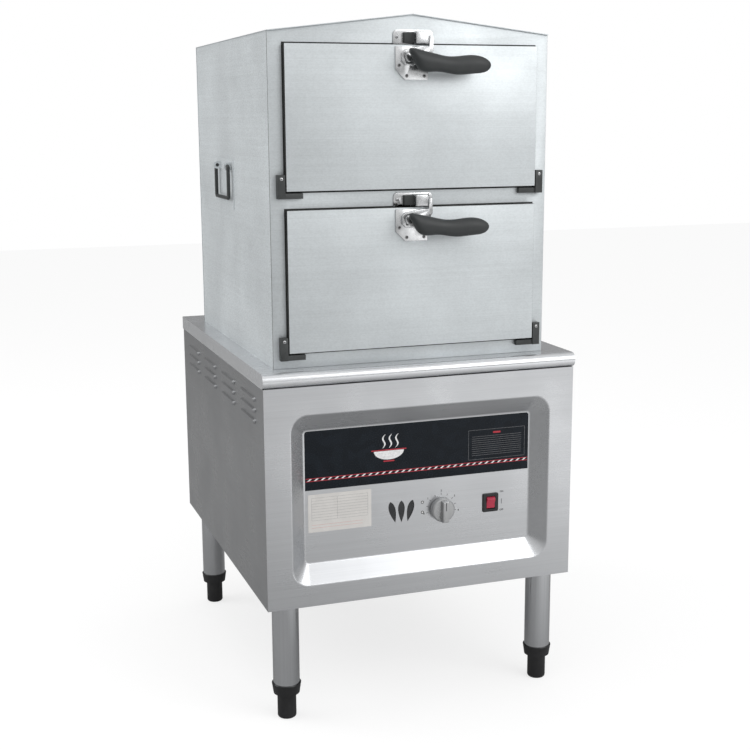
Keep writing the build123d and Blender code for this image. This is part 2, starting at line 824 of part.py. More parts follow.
def make_switch():
    """Rocker switch: a bezel that clips into the panel and the rocker between its cheeks."""
    front = recess_floor_y - bezel_proud
    pocket_x = rocker_width / 2 + rocker_gap
    pocket_z = rocker_radius + rocker_gap
    axis_y = recess_floor_y + rocker_axis_depth
    pocket_end = axis_y + rocker_radius + rocker_gap
    with BuildPart() as switch_bezel:
        block(
            (switch_x - bezel_width / 2, switch_x + bezel_width / 2),
            (front, recess_floor_y),
            (switch_z - bezel_height / 2, switch_z + bezel_height / 2),
        )
        fillet(switch_bezel.edges().filter_by(Axis.Y), bezel_proud)
        chamfer(switch_bezel.faces().sort_by(Axis.Y)[0].edges(), bezel_proud / 3)
        block(
            (switch_x - rocker_width / 2 - sheet, switch_x + rocker_width / 2 + sheet),
            (recess_floor_y, recess_floor_y + bezel_body_depth),
            (switch_z - rocker_radius - sheet, switch_z + rocker_radius + sheet),
        )
        block(
            (switch_x - pocket_x, switch_x + pocket_x),
            (front, pocket_end),
            (switch_z - pocket_z, switch_z + pocket_z),
            Mode.SUBTRACT,
        )
        rod_x(
            hinge_pin_radius + running_gap,
            axis_y,
            switch_z,
            (switch_x - pocket_x - sheet / 2, switch_x + pocket_x + sheet / 2),
            Mode.SUBTRACT,
        )
    save(switch_bezel.part, "switch_bezel")

    throw = radians(rocker_throw)
    rocker_plane = Plane(
        origin=(switch_x - rocker_width / 2, axis_y, switch_z),
        x_dir=(0, cos(throw), sin(throw)),
        z_dir=(1, 0, 0),
    )
    far = 2 * rocker_radius
    corner = rocker_valley + far * sin(throw)
    with BuildPart() as rocker_button:
        with BuildSketch(rocker_plane):
            Circle(rocker_radius)
            with BuildLine():
                Polyline(
                    (-rocker_valley, 0),
                    (-corner, far),
                    (-2 * far, far),
                    (-2 * far, -far),
                    (-corner, -far),
                    close=True,
                )
            make_face(mode=Mode.SUBTRACT)
        extrude(amount=rocker_width)
        rod_x(
            hinge_pin_radius,
            axis_y,
            switch_z,
            (switch_x - pocket_x - sheet / 3, switch_x + pocket_x + sheet / 3),
        )
    save(rocker_button.part, "rocker_button")


def make_labels():
    """Long dark label across the top of the recess floor and the pale notice plate under it."""
    front = recess_floor_y - label_thickness
    label_bottom = recess_floor_top - label_height
    notice_left = -recess_floor_width / 2 + notice_inset
    notice_z = recess_floor_bottom + notice_lift
    with BuildPart() as panel_labels:
        with BuildSketch(facing_front(recess_floor_y)):
            with Locations((0, recess_z)):
                RectangleRounded(
                    recess_floor_width - 2 * label_inset,
                    recess_floor_height - 2 * label_inset,
                    recess_floor_corner - label_inset,
                )
            with Locations((0, (recess_floor_bottom + label_bottom) / 2)):
                Rectangle(recess_floor_width, label_bottom - recess_floor_bottom, mode=Mode.SUBTRACT)
        extrude(amount=label_thickness)
        notice_top = notice_z + notice_height
        block((notice_left, notice_left + notice_width), (front, recess_floor_y), (notice_z, notice_top))
    save(panel_labels.part, "panel_labels")


def make_power_inlet():
    """Cable gland on the back panel: a flange nut outside, a domed nut and a bore for the lead."""
    z = body_bottom + inlet_lift
    with BuildPart() as power_inlet:
        with BuildSketch(facing_front(body_back)):
            with Locations((inlet_x, z)):
                RegularPolygon(inlet_nut_radius, 6)
        extrude(amount=-inlet_nut_height)
        rod_y(inlet_radius, inlet_x, z, (body_back - sheet, body_back + inlet_reach))
        chamfer(power_inlet.faces().sort_by(Axis.Y)[-1].edges(), pipe_wall)
        gland = (body_back - sheet - inlet_nut_height, body_back + inlet_reach)
        rod_y(inlet_nut_radius - pipe_wall, inlet_x, z, (gland[0], body_back - sheet))
        rod_y(inlet_bore, inlet_x, z, gland, Mode.SUBTRACT)
    save(power_inlet.part, "power_inlet")


def make_furnace_screws():
    """Round screw heads along the edges of the back panel."""
    margin = flange_width
    spacing = (body_height - lip_height - 2 * margin) / (screws_per_edge - 1)
    heights = [body_bottom + margin + number * spacing for number in range(screws_per_edge)]
    with BuildPart() as furnace_screws:
        for side in (-1, 1):
            x = side * (body_half - margin)
            for z in heights:
                rod_y(screw_head_radius, x, z, (body_back, body_back + screw_head_height))
        fillet(furnace_screws.faces().group_by(Axis.Y)[-1].edges(), screw_head_height / 2)
    save(furnace_screws.part, "furnace_screws")


# ---------------------------------------------------------------- cabinet


def make_cabinet_side(side, name):
    """Side sheet with front and rear flanges."""
    outer = cabinet_shift + side * side_outer
    inner = cabinet_shift + side * side_inner
    flange = cabinet_shift + side * (side_outer - side_flange)
    with BuildPart() as cabinet_side:
        block((outer, inner), (frame_back, cabinet_inside_back), (body_top, eaves_z))
        block((outer, flange), (frame_back, frame_back + sheet), (body_top, eaves_z))
        block((outer, flange), (cabinet_inside_back - sheet, cabinet_inside_back), (body_top, eaves_z))
    save(cabinet_side.part, name)


def gable_points():
    """Outline of the cabinet's front and back, with the gable on top."""
    left = cabinet_shift - cabinet_half
    right = cabinet_shift + cabinet_half
    return [
        (left, body_top),
        (right, body_top),
        (right, eaves_z),
        (cabinet_shift, eaves_z + gable_rise),
        (left, eaves_z),
    ]


def make_cabinet_back():
    """Back sheet of the cabinet."""
    with BuildPart() as cabinet_back_sheet:
        with BuildSketch(facing_front(cabinet_back)):
            with BuildLine():
                Polyline(*gable_points(), close=True)
            make_face()
        extrude(amount=sheet)
    save(cabinet_back_sheet.part, "cabinet_back")


def make_cabinet_floor():
    """Floor sheet with the steam opening."""
    with BuildPart() as cabinet_floor:
        block(
            (cabinet_shift - side_inner, cabinet_shift + side_inner),
            (frame_back + sheet, cabinet_inside_back - sheet),
            (body_top, body_top + sheet),
        )
        with BuildSketch(Plane.XY.offset(body_top)):
            with Locations((cabinet_shift, cabinet_y)):
                RectangleRounded(steam_opening, steam_opening, steam_corner)
        extrude(amount=sheet, mode=Mode.SUBTRACT)
    save(cabinet_floor.part, "cabinet_floor")


def make_front_frame():
    """Face frame with two door openings, each with a jamb turned back into the cabinet."""
    doors = ((lower_door_bottom, lower_door_top), (upper_door_bottom, upper_door_top))
    with BuildPart() as front_frame:
        with BuildSketch(facing_front(frame_back)):
            with BuildLine():
                Polyline(*gable_points(), close=True)
            make_face()
        extrude(amount=frame_sheet)
        for bottom, top in doors:
            low = bottom + door_overlap
            high = top - door_overlap
            block(
                (cabinet_shift - opening_half - sheet, cabinet_shift + opening_half + sheet),
                (frame_back, cabinet_front + frame_jamb_depth),
                (low - sheet, high + sheet),
            )
            block(
                (cabinet_shift - opening_half, cabinet_shift + opening_half),
                (cabinet_front, cabinet_front + frame_jamb_depth),
                (low, high),
                Mode.SUBTRACT,
            )
    save(front_frame.part, "front_frame")


def make_roof():
    """Folded roof sheet over the gables."""
    left = cabinet_shift - cabinet_half
    right = cabinet_shift + cabinet_half
    ridge = eaves_z + gable_rise
    with BuildPart() as roof:
        with BuildSketch(facing_front(cabinet_back)):
            with BuildLine():
                Polyline(
                    (left, eaves_z),
                    (cabinet_shift, ridge),
                    (right, eaves_z),
                    (right, eaves_z + sheet),
                    (cabinet_shift, ridge + sheet),
                    (left, eaves_z + sheet),
                    close=True,
                )
            make_face()
        extrude(amount=cabinet_depth + roof_overhang)
    save(roof.part, "roof")


def make_rails_and_trays():
    """Angle rails on the side sheets, and a flat tray hung on each pair by its rim."""
    front = cabinet_front + frame_jamb_depth + rail_end_gap
    back = cabinet_inside_back - rail_end_gap
    rail_tops = {
        "lower_tray": lower_door_bottom + rail_lift,
        "upper_tray": upper_door_bottom + rail_lift,
    }
    with BuildPart() as tray_rails:
        for top in rail_tops.values():
            for side in (-1, 1):
                wall = cabinet_shift + side * side_inner
                block((wall, wall - side * sheet), (front, back), (top - rail_upright, top))
                block((wall, wall - side * rail_leg), (front, back), (top - sheet, top))
    save(tray_rails.part, "tray_rails")

    rim_width = 2 * (side_inner - rail_leg + tray_rim_overlap)
    pan = rim_width - 2 * tray_rim
    inside = pan - 2 * tray_sheet
    for name, top in rail_tops.items():
        with BuildPart() as tray:
            with BuildSketch(Plane.XY.offset(top - tray_depth)):
                with Locations((cabinet_shift, cabinet_y)):
                    RectangleRounded(pan, tray_length, tray_corner)
            extrude(amount=tray_depth)
            with BuildSketch(Plane.XY.offset(top)):
                with Locations((cabinet_shift, cabinet_y)):
                    RectangleRounded(rim_width, tray_length + 2 * tray_rim, tray_corner)
            extrude(amount=tray_sheet)
            with BuildSketch(Plane.XY.offset(top + tray_sheet)):
                with Locations((cabinet_shift, cabinet_y)):
                    RectangleRounded(inside, tray_length - 2 * tray_sheet, tray_corner - tray_sheet)
            extrude(amount=-tray_depth, mode=Mode.SUBTRACT)
        save(tray.part, name)


def make_hinge_brackets():
    """L brackets at the doors' bottom corners, each with a pin that enters the door's edge."""
    pin_z = {bottom: bottom + hinge_up for bottom in (lower_door_bottom, upper_door_bottom)}
    with BuildPart() as hinge_brackets:
        for bottom in (lower_door_bottom, upper_door_bottom):
            foot_top = bottom - hinge_under_gap
            foot_bottom = foot_top - bracket_foot_height
            for side in (-1, 1):
                near = cabinet_shift + side * (door_half + hinge_side_gap)
                far = near + side * bracket_upright_width
                upright = (foot_bottom, foot_bottom + bracket_upright)
                block((near, far), (door_front, cabinet_front), upright)
                block(
                    (far, far - side * bracket_foot_length),
                    (cabinet_front - bracket_foot_depth, cabinet_front),
                    (foot_bottom, foot_top),
                )
                tip = near - side * (hinge_side_gap + hinge_pin_grip)
                rod_x(hinge_pin_radius, hinge_y, pin_z[bottom], sorted((tip, near)))
    save(hinge_brackets.part, "hinge_brackets")


def make_keeper(door_top, name):
    """Plate on the frame with the square striker block and the shoulder beside it."""
    base = door_top + keeper_lift
    left = cabinet_shift + keeper_left
    striker = cabinet_shift + striker_left
    face = cabinet_front - keeper_sheet
    striker_low = door_top + striker_lift
    with BuildPart() as keeper:
        block((left, cabinet_shift + keeper_right), (face, cabinet_front), (base, base + keeper_height))
        fillet(keeper.edges().filter_by(Axis.Y).group_by(Axis.Z)[-1], keeper_corner)
        block(
            (striker, striker + striker_width),
            (door_front - striker_proud, face),
            (striker_low, striker_low + striker_height),
        )
        chamfer(keeper.faces().sort_by(Axis.Y)[0].edges(), sheet)
        block(
            (striker - keeper_shoulder_width, striker),
            (face - keeper_shoulder_proud, face),
            (striker_low + sheet, striker_low + striker_height - sheet),
        )
    save(keeper.part, name)


def make_handle_plates():
    """Plates on the cabinet's sides with two ears each for the carrying bail."""
    y_middle = cabinet_front + bail_plate_setback + bail_plate_width / 2
    bottom = body_top + bail_plate_lift
    top = bottom + bail_plate_height
    axis_z = top - bail_drop_from_top
    with BuildPart() as handle_plates:
        for side in (-1, 1):
            face = cabinet_shift + side * side_outer
            outer = face + side * sheet
            block(
                (face, outer),
                (y_middle - bail_plate_width / 2, y_middle + bail_plate_width / 2),
                (bottom, top),
            )
            for end in (-1, 1):
                ear_y = y_middle + end * ear_spacing / 2
                span = (ear_y - ear_thickness / 2, ear_y + ear_thickness / 2)
                ear = (axis_z - ear_radius, axis_z + ear_radius)
                block((outer, face + side * bail_standoff), span, ear)
                rod_y(ear_radius, face + side * bail_standoff, axis_z, span)
                rod_y(bail_rod + running_gap, face + side * bail_standoff, axis_z, span, Mode.SUBTRACT)
    save(handle_plates.part, "handle_plates")


def make_bail(side, name):
    """Round-rod carrying bail that hangs from its two ears."""
    y_middle = cabinet_front + bail_plate_setback + bail_plate_width / 2
    axis_x = cabinet_shift + side * (side_outer + bail_standoff)
    axis_z = body_top + bail_plate_lift + bail_plate_height - bail_drop_from_top
    arm = (ear_spacing + ear_thickness) / 2 + ear_gap + bail_rod
    start = (ear_spacing - ear_thickness) / 2
    low = axis_z - bail_length
    route = [
        (axis_x, y_middle - start, axis_z),
        (axis_x, y_middle - arm, axis_z),
        (axis_x, y_middle - arm, low),
        (axis_x, y_middle + arm, low),
        (axis_x, y_middle + arm, axis_z),
        (axis_x, y_middle + start, axis_z),
    ]
    with BuildPart() as bail:
        with BuildLine():
            FilletPolyline(*route, radius=min(bail_bend, bail_rod + ear_gap - running_gap))
        with BuildSketch(facing_front(y_middle - start)):
            with Locations((axis_x, axis_z)):
                Circle(bail_rod)
        sweep()
    save(bail.part, name)


# ---------------------------------------------------------------- doors and latches


def make_door(bottom, height, prefix):
    """Door leaf: folded outer skin with pin blocks, inner liner, and the gasket on the liner."""
    left = cabinet_shift - door_half
    right = cabinet_shift + door_half
    top = bottom + height
    liner_front = door_back - door_liner_sheet
    pin_z = bottom + hinge_up
    with BuildPart() as skin:
        block((left, right), (door_front, liner_front), (bottom, top))
        block(
            (left + door_sheet, right - door_sheet),
            (door_front + door_sheet, liner_front),
            (bottom + door_sheet, top - door_sheet),
            Mode.SUBTRACT,
        )
        for side in (-1, 1):
            edge = cabinet_shift + side * door_half
            block(
                (edge, edge - side * hinge_block_length),
                (door_front, liner_front),
                (bottom, bottom + hinge_block_height),
            )
            hole_end = edge - side * (hinge_pin_grip + piece_gap)
            rod_x(hinge_pin_radius + running_gap, hinge_y, pin_z, sorted((edge, hole_end)), Mode.SUBTRACT)
    save(skin.part, f"{prefix}_door_skin")

    with BuildPart() as liner:
        block((left, right), (liner_front, door_back), (bottom, top))
    save(liner.part, f"{prefix}_door_liner")

    outer_inset = door_overlap - gasket_width
    with BuildPart() as gasket:
        depth = (door_back, cabinet_front - gasket_clear)
        block((left + outer_inset, right - outer_inset), depth, (bottom + outer_inset, top - outer_inset))
        block(
            (left + door_overlap, right - door_overlap),
            depth,
            (bottom + door_overlap, top - door_overlap),
            Mode.SUBTRACT,
        )
    save(gasket.part, f"{prefix}_door_gasket")


def make_latch_plate(door_top, prefix):
    """Plate on the door that carries the lever's pivot, and its screws."""
    face = door_front - latch_plate_thickness
    left = cabinet_shift + latch_plate_left
    right = cabinet_shift + latch_plate_right
    bottom = door_top - latch_plate_drop
    top = door_top - latch_plate_top_gap
    head_front = face - lever_gap - lever_plate - running_gap
    pivot = (cabinet_shift + pivot_x, door_top - pivot_drop)
    with BuildPart() as latch_plate:
        with BuildSketch(facing_front(door_front)):
            with BuildLine():
                Polyline(
                    (left, top),
                    (left, bottom + latch_plate_chamfer),
                    (left + latch_plate_chamfer, bottom),
                    (right, bottom),
                    (right, bottom + latch_plate_chamfer),
                    (right - latch_plate_chamfer, top),
                    close=True,
                )
            make_face()
        extrude(amount=latch_plate_thickness)
        rod_y(pivot_radius, pivot[0], pivot[1], (head_front, face))
        rod_y(pivot_head_radius, pivot[0], pivot[1], (head_front - pivot_head_height, head_front))
        rod_y(pivot_head_radius, pivot[0], pivot[1], (face - lever_gap + running_gap, face))
    save(latch_plate.part, f"{prefix}_latch_plate")

    spots = [
        (left + screw_margin, bottom + latch_plate_chamfer + screw_margin),
        (left + latch_plate_chamfer + screw_margin / 2, bottom + screw_margin),
        (right - screw_margin, bottom + screw_margin),
    ]
    with BuildPart() as latch_screws:
        for x, z in spots:
            rod_y(screw_head_radius, x, z, (face - latch_screw_height, face))
        fillet(latch_screws.faces().group_by(Axis.Y)[0].edges(), latch_screw_height / 2)
    save(latch_screws.part, f"{prefix}_latch_screws")


def make_lever(door_top, prefix):
    """Latch lever that turns on the pivot, with the lug beside the striker and the grip's post."""
    back = door_front - latch_plate_thickness - lever_gap
    front = back - lever_plate
    pivot = (cabinet_shift + pivot_x, door_top - pivot_drop)
    post = (cabinet_shift + post_x, door_top - post_drop)
    lug_left = cabinet_shift + striker_left + striker_width + lug_gap
    lug_right = lug_left + lug_width
    under = door_top - latch_plate_top_gap
    reach = pivot_head_radius + lever_plate
    grip_back = door_front - grip_standoff
    with BuildPart() as lever:
        with BuildSketch(facing_front(back)):
            with BuildLine():
                Polyline(
                    (pivot[0] - reach, pivot[1] + reach / 2),
                    (pivot[0] - reach / 2, pivot[1] + reach),
                    (post[0], under),
                    (lug_left, under),
                    (lug_left, door_top + lug_rise - lug_width / 2),
                    ((lug_left + lug_right) / 2, door_top + lug_rise),
                    (lug_right, door_top + lug_rise - lug_width / 2),
                    (lug_right, under - lug_width),
                    (post[0] + reach, post[1] - reach / 2),
                    (pivot[0] + reach / 2, pivot[1] - reach),
                    (pivot[0] - reach / 2, pivot[1] - reach),
                    (pivot[0] - reach, pivot[1] - reach / 2),
                    close=True,
                )
            make_face()
        extrude(amount=lever_plate)
        rod_y(pivot_radius + running_gap, pivot[0], pivot[1], (front, back), Mode.SUBTRACT)
        rod_y(post_radius, post[0], post[1], (grip_back - tang_length, front))
    save(lever.part, f"{prefix}_latch_lever")


def make_grip(door_top, prefix):
    """Long rounded hand grip with a narrow waist and a fuller end."""
    back = door_front - grip_standoff
    grip_y = back - grip_half_depth
    post = (cabinet_shift + post_x, door_top - post_drop)
    with BuildPart() as grip:
        for distance, drop, half_height, half_depth in grip_stations:
            with BuildSketch(facing_right(cabinet_shift + distance)):
                with Locations((grip_y, door_top - drop)):
                    Ellipse(half_depth, half_height)
        loft()
        tang = (back - tang_length, back + grip_half_depth)
        rod_y(post_radius + running_gap, post[0], post[1], tang, Mode.SUBTRACT)
    save(grip.part, f"{prefix}_latch_grip")


def make_cabinet_screws():
    """Screw heads on the keepers, the hinge brackets and the cabinet's back."""
    with BuildPart() as cabinet_screws:
        keeper_face = cabinet_front - keeper_sheet
        for door_top in (lower_door_top, upper_door_top):
            z = door_top + keeper_lift + keeper_height / 2
            for x in (keeper_left + screw_margin, keeper_right - screw_margin):
                head = (keeper_face - screw_head_height, keeper_face)
                rod_y(screw_head_radius, cabinet_shift + x, z, head)
        for bottom in (lower_door_bottom, upper_door_bottom):
            for side in (-1, 1):
                x = cabinet_shift + side * (door_half + hinge_side_gap + bracket_upright_width / 2)
                bracket_top = bottom - hinge_under_gap - bracket_foot_height + bracket_upright
                z = bracket_top - screw_margin
                rod_y(screw_head_radius, x, z, (door_front - screw_head_height, door_front))
        for side in (-1, 1):
            for number in range(screws_per_edge):
                spacing = (cabinet_side_height - 2 * side_flange) / (screws_per_edge - 1)
                z = body_top + side_flange + number * spacing
                x = cabinet_shift + side * (cabinet_half - side_flange / 2)
                rod_y(screw_head_radius, x, z, (cabinet_back, cabinet_back + screw_head_height))
    save(cabinet_screws.part, "cabinet_screws")


# ---------------------------------------------------------------- the whole steamer

make_top_plate()
make_front_panel()
make_side_panel(-1, "left_side_panel")
make_side_panel(1, "right_side_panel")
make_back_panel()
make_floor_plate()
make_legs()
foot_names = ("foot_front_left", "foot_front_right", "foot_rear_left", "foot_rear_right")
for foot_place, foot_name in zip(leg_places, foot_names):
    make_foot(foot_place, foot_name)
make_water_pan()
make_burner()
make_gas_line()
make_drain()
make_blower()
make_control_knob()
make_switch()
make_labels()
make_power_inlet()
make_furnace_screws()

make_cabinet_side(-1, "cabinet_left_side")
make_cabinet_side(1, "cabinet_right_side")
make_cabinet_back()
make_cabinet_floor()
make_front_frame()
make_roof()
make_rails_and_trays()
make_hinge_brackets()
make_handle_plates()
make_cabinet_screws()
make_bail(-1, "left_bail")
make_bail(1, "right_bail")

make_door(lower_door_bottom, lower_door_height, "lower")
make_door(upper_door_bottom, upper_door_height, "upper")
for door_top_edge, door_name in ((lower_door_top, "lower"), (upper_door_top, "upper")):
    make_keeper(door_top_edge, f"{door_name}_keeper")
    make_latch_plate(door_top_edge, door_name)
    make_lever(door_top_edge, door_name)
    make_grip(door_top_edge, door_name)
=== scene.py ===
"""Finishes, trim and studio for a rice noodle roll steamer: a gas furnace with a two-door steam cabinet."""

import json
from math import cos, radians, sin

import bmesh
import bpy
from bpy.props import FloatProperty, FloatVectorProperty, IntProperty, PointerProperty
from bpy.types import Operator, Panel, PropertyGroup
from mathutils import Matrix, Vector


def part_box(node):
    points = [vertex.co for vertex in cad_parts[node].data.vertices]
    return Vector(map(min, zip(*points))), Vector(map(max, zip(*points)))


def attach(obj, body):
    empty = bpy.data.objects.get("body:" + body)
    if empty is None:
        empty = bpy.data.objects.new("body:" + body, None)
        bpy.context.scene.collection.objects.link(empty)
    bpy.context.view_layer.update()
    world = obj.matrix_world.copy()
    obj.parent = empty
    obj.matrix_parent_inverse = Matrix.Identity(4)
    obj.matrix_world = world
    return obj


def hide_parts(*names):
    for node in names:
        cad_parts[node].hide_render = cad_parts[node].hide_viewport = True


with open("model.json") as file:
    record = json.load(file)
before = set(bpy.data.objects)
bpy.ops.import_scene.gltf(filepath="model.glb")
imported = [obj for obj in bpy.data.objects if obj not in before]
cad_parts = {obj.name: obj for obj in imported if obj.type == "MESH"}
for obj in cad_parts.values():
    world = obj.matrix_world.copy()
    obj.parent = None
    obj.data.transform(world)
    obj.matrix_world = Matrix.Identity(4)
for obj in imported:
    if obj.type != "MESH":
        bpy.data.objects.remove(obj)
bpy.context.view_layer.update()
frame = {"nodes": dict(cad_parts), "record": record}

bl_info = {
    "name": "Noodle Roll Steamer",
    "version": (1, 0, 0),
    "blender": (4, 5, 0),
    "location": "View3D > Sidebar > Steamer",
    # The seams and the dark crosses on the screws are painted shade.
    "description": "Dresses the steamer's steel, makes its labels, marks, screws and seams, and lights it",
    "category": "Object",
}

MM = 0.001
PANEL_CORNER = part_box("front_panel")[0]
BEZEL_PROUD = 3 * MM
RECESS_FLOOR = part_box("switch_bezel")[0][1] + BEZEL_PROUD
PANEL_SHEET = 1.5 * MM
STEAMER_BODY = "steamer"
DOORS = ("lower", "upper")

# Film and print on the recess floor
FILM_FRONT = RECESS_FLOOR - 0.4 * MM
LABEL_INK = 0.05 * MM
PRINT_FRONT = FILM_FRONT - LABEL_INK
MARK_INK = 0.08 * MM
LINE_WIDTH = 0.45 * MM
FINE_LINE = 0.3 * MM

# Studio: place, target and size of each lamp, then the floor and the room that the metal mirrors
LAMPS = {
    "key": ((1.9, -2.9, 2.3), (0, -0.2, 0.6), 2.2),
    "top": ((-0.5, 0.4, 3.4), (0, 0, 0.6), 2.6),
    "side": ((-3.0, 0.9, 2.0), (0, 0, 0.9), 2.4),
}
FLOOR_HALF = 9.0
FLOOR_COLOUR = (0.86, 0.86, 0.86)
FLOOR_GLOW_SHARE = 0.62
FLOOR_GLOW_SEEN = 1.17
FLOOR_GLOW_MIRRORED = (0.14, 1.85)
POOL_STRETCH = (0.40, 0.32, 1.0)
POOL_SHIFT = (-0.66, 0.93, 0.0)
ROOM_TURN = 0.35
ROOM_ACROSS = (0.36, 1.02)
ROOM_UPWARD = (0.62, 1.20)

# ---- settings


def colour_setting(name, covers, default):
    """Colour property for what it covers."""
    about = f"Colour of the {covers}"
    return FloatVectorProperty(name=name, description=about, subtype="COLOR", size=3, default=default)


class FinishSettings(PropertyGroup):
    furnace_colour: colour_setting("Furnace steel", "furnace's brushed sheet", (0.56, 0.57, 0.585))
    cabinet_colour: colour_setting("Cabinet steel", "cabinet's matte sheet", (0.60, 0.635, 0.65))
    grip_colour: colour_setting("Grips", "latch grips", (0.022, 0.025, 0.026))
    label_colour: colour_setting("Label", "long label's ground", (0.0022, 0.0048, 0.0085))
    rocker_colour: colour_setting("Rocker", "rocker switch", (0.42, 0.022, 0.055))
    furnace_roughness: FloatProperty(
        name="Furnace roughness", description="Roughness of the furnace's sheet", default=0.30, min=0, max=1
    )
    cabinet_roughness: FloatProperty(
        name="Cabinet roughness", description="Roughness of the cabinet's sheet", default=0.46, min=0, max=1
    )


class TrimSettings(PropertyGroup):
    dial_ticks: IntProperty(
        name="Dial ticks", description="Marks around the knob", default=9, min=2, max=40
    )
    dial_sweep: FloatProperty(
        name="Dial sweep", description="Angle that the marks cover", default=radians(200), unit="ROTATION"
    )
    dial_radius: FloatProperty(
        name="Dial radius", description="Distance of the marks from the knob's axis", default=0.0295,
        unit="LENGTH",
    )
    stripe_dashes: IntProperty(
        name="Stripe dashes", description="Pale dashes on the label's stripe", default=34, min=2
    )
    stripe_height: FloatProperty(
        name="Stripe height", description="Height of the label's stripe", default=0.0052, unit="LENGTH"
    )
    # Width of the painted shade around each door.
    seam_width: FloatProperty(
        name="Seam width", description="Width of the dark seam around a door", default=0.0021, unit="LENGTH"
    )
    edge_round: FloatProperty(
        name="Edge round", description="Radius of folded sheet edges", default=0.0008, unit="LENGTH"
    )


class StudioSettings(PropertyGroup):
    camera_place: FloatVectorProperty(
        name="Camera", description="Camera's place from the furnace's front foot line",
        subtype="TRANSLATION", size=3, default=(-0.8551, -2.1585, 1.1241), unit="LENGTH",
    )
    camera_yaw: FloatProperty(
        name="Yaw", description="Turn to the right", default=radians(19.34), unit="ROTATION"
    )
    camera_pitch: FloatProperty(
        name="Pitch", description="Tilt down", default=radians(11.42), unit="ROTATION"
    )
    camera_roll: FloatProperty(
        name="Roll", description="Roll of the camera", default=radians(-0.30), unit="ROTATION"
    )
    lens: FloatProperty(name="Lens", description="Focal length on a 36 mm sensor", default=61.395)
    key_power: FloatProperty(
        name="Key light", description="Power of the large front light", default=36.0, unit="POWER"
    )
    top_power: FloatProperty(
        name="Top light", description="Power of the overhead light", default=11.0, unit="POWER"
    )
    side_power: FloatProperty(
        name="Side light", description="Power of the left light", default=36.0, unit="POWER"
    )


# ---- shader helpers


def new_material(name):
    """Empty node material with its tree and its Principled shader."""
    made = bpy.data.materials.new(name)
    made.use_nodes = True
    return made, made.node_tree, made.node_tree.nodes["Principled BSDF"]


def add_node(tree, kind, **values):
    """New node; values name its properties or else its inputs."""
    made = tree.nodes.new(kind)
    for key, value in values.items():
        if hasattr(made, key):
            setattr(made, key, value)
        else:
            made.inputs[key.replace("_", " ").title()].default_value = value
    return made


def object_point(tree, stretch=(1, 1, 1), place=(0, 0, 0)):
    """Object coordinates through a Mapping node."""
    coordinates = add_node(tree, "ShaderNodeTexCoord")
    mapping = add_node(tree, "ShaderNodeMapping", scale=stretch)
    mapping.inputs["Location"].default_value = place
    tree.links.new(coordinates.outputs["Object"], mapping.inputs["Vector"])
    return mapping.outputs["Vector"]


def noise(tree, scale, detail=4.0, roughness=0.5, stretch=(1, 1, 1), place=(0, 0, 0)):
    """Factor of a noise texture on the object's coordinates."""
    made = add_node(tree, "ShaderNodeTexNoise", scale=scale, detail=detail, roughness=roughness)
    tree.links.new(object_point(tree, stretch, place), made.inputs["Vector"])
    return made.outputs[0]


def ramp(tree, factor, low, high, low_at=0.3, high_at=0.7):
    """Two-stop colour ramp between two colours."""
    made = add_node(tree, "ShaderNodeValToRGB")
    made.color_ramp.elements[0].position = low_at
    made.color_ramp.elements[1].position = high_at
    made.color_ramp.elements[0].color = (*low, 1)
    made.color_ramp.elements[1].color = (*high, 1)
    tree.links.new(factor, made.inputs["Fac"])
    return made.outputs["Color"]


def spread(tree, factor, low, high, from_low=0.3, from_high=0.7):
    """Factor mapped from one range of numbers onto another."""
    reach = {"from_min": from_low, "from_max": from_high, "to_min": low, "to_max": high}
    made = add_node(tree, "ShaderNodeMapRange", **reach)
    tree.links.new(factor, made.inputs["Value"])
    return made.outputs["Result"]


def blend_colours(tree, factor, first, second, mode="MIX"):
    """Mix node on two colour sockets."""
    made = add_node(tree, "ShaderNodeMix", data_type="RGBA", blend_type=mode)
    made.inputs[0].default_value = factor
    tree.links.new(first, made.inputs[6])
    tree.links.new(second, made.inputs[7])
    return made.outputs[2]


def maths(tree, operation, *values):
    """Result of a Math node on its values, each a socket or a number."""
    made = add_node(tree, "ShaderNodeMath", operation=operation)
    for socket, value in zip(made.inputs, values):
        if isinstance(value, bpy.types.NodeSocket):
            tree.links.new(value, socket)
        else:
            socket.default_value = value
    return made.outputs[0]


def cover(tree, shader, tone, gloss, height, strength, distance, metallic=0.0):
    """Colour, roughness and relief of a shader, from sockets."""
    relief = add_node(tree, "ShaderNodeBump", strength=strength, distance=distance)
    shader.inputs["Metallic"].default_value = metallic
    link = tree.links.new
    link(height, relief.inputs["Height"])
    link(relief.outputs["Normal"], shader.inputs["Normal"])
    link(tone, shader.inputs["Base Color"])
    link(gloss, shader.inputs["Roughness"])


def shade(colour, factor):
    """Colour times a number."""
    return tuple(min(1.0, channel * factor) for channel in colour)


# ---- materials


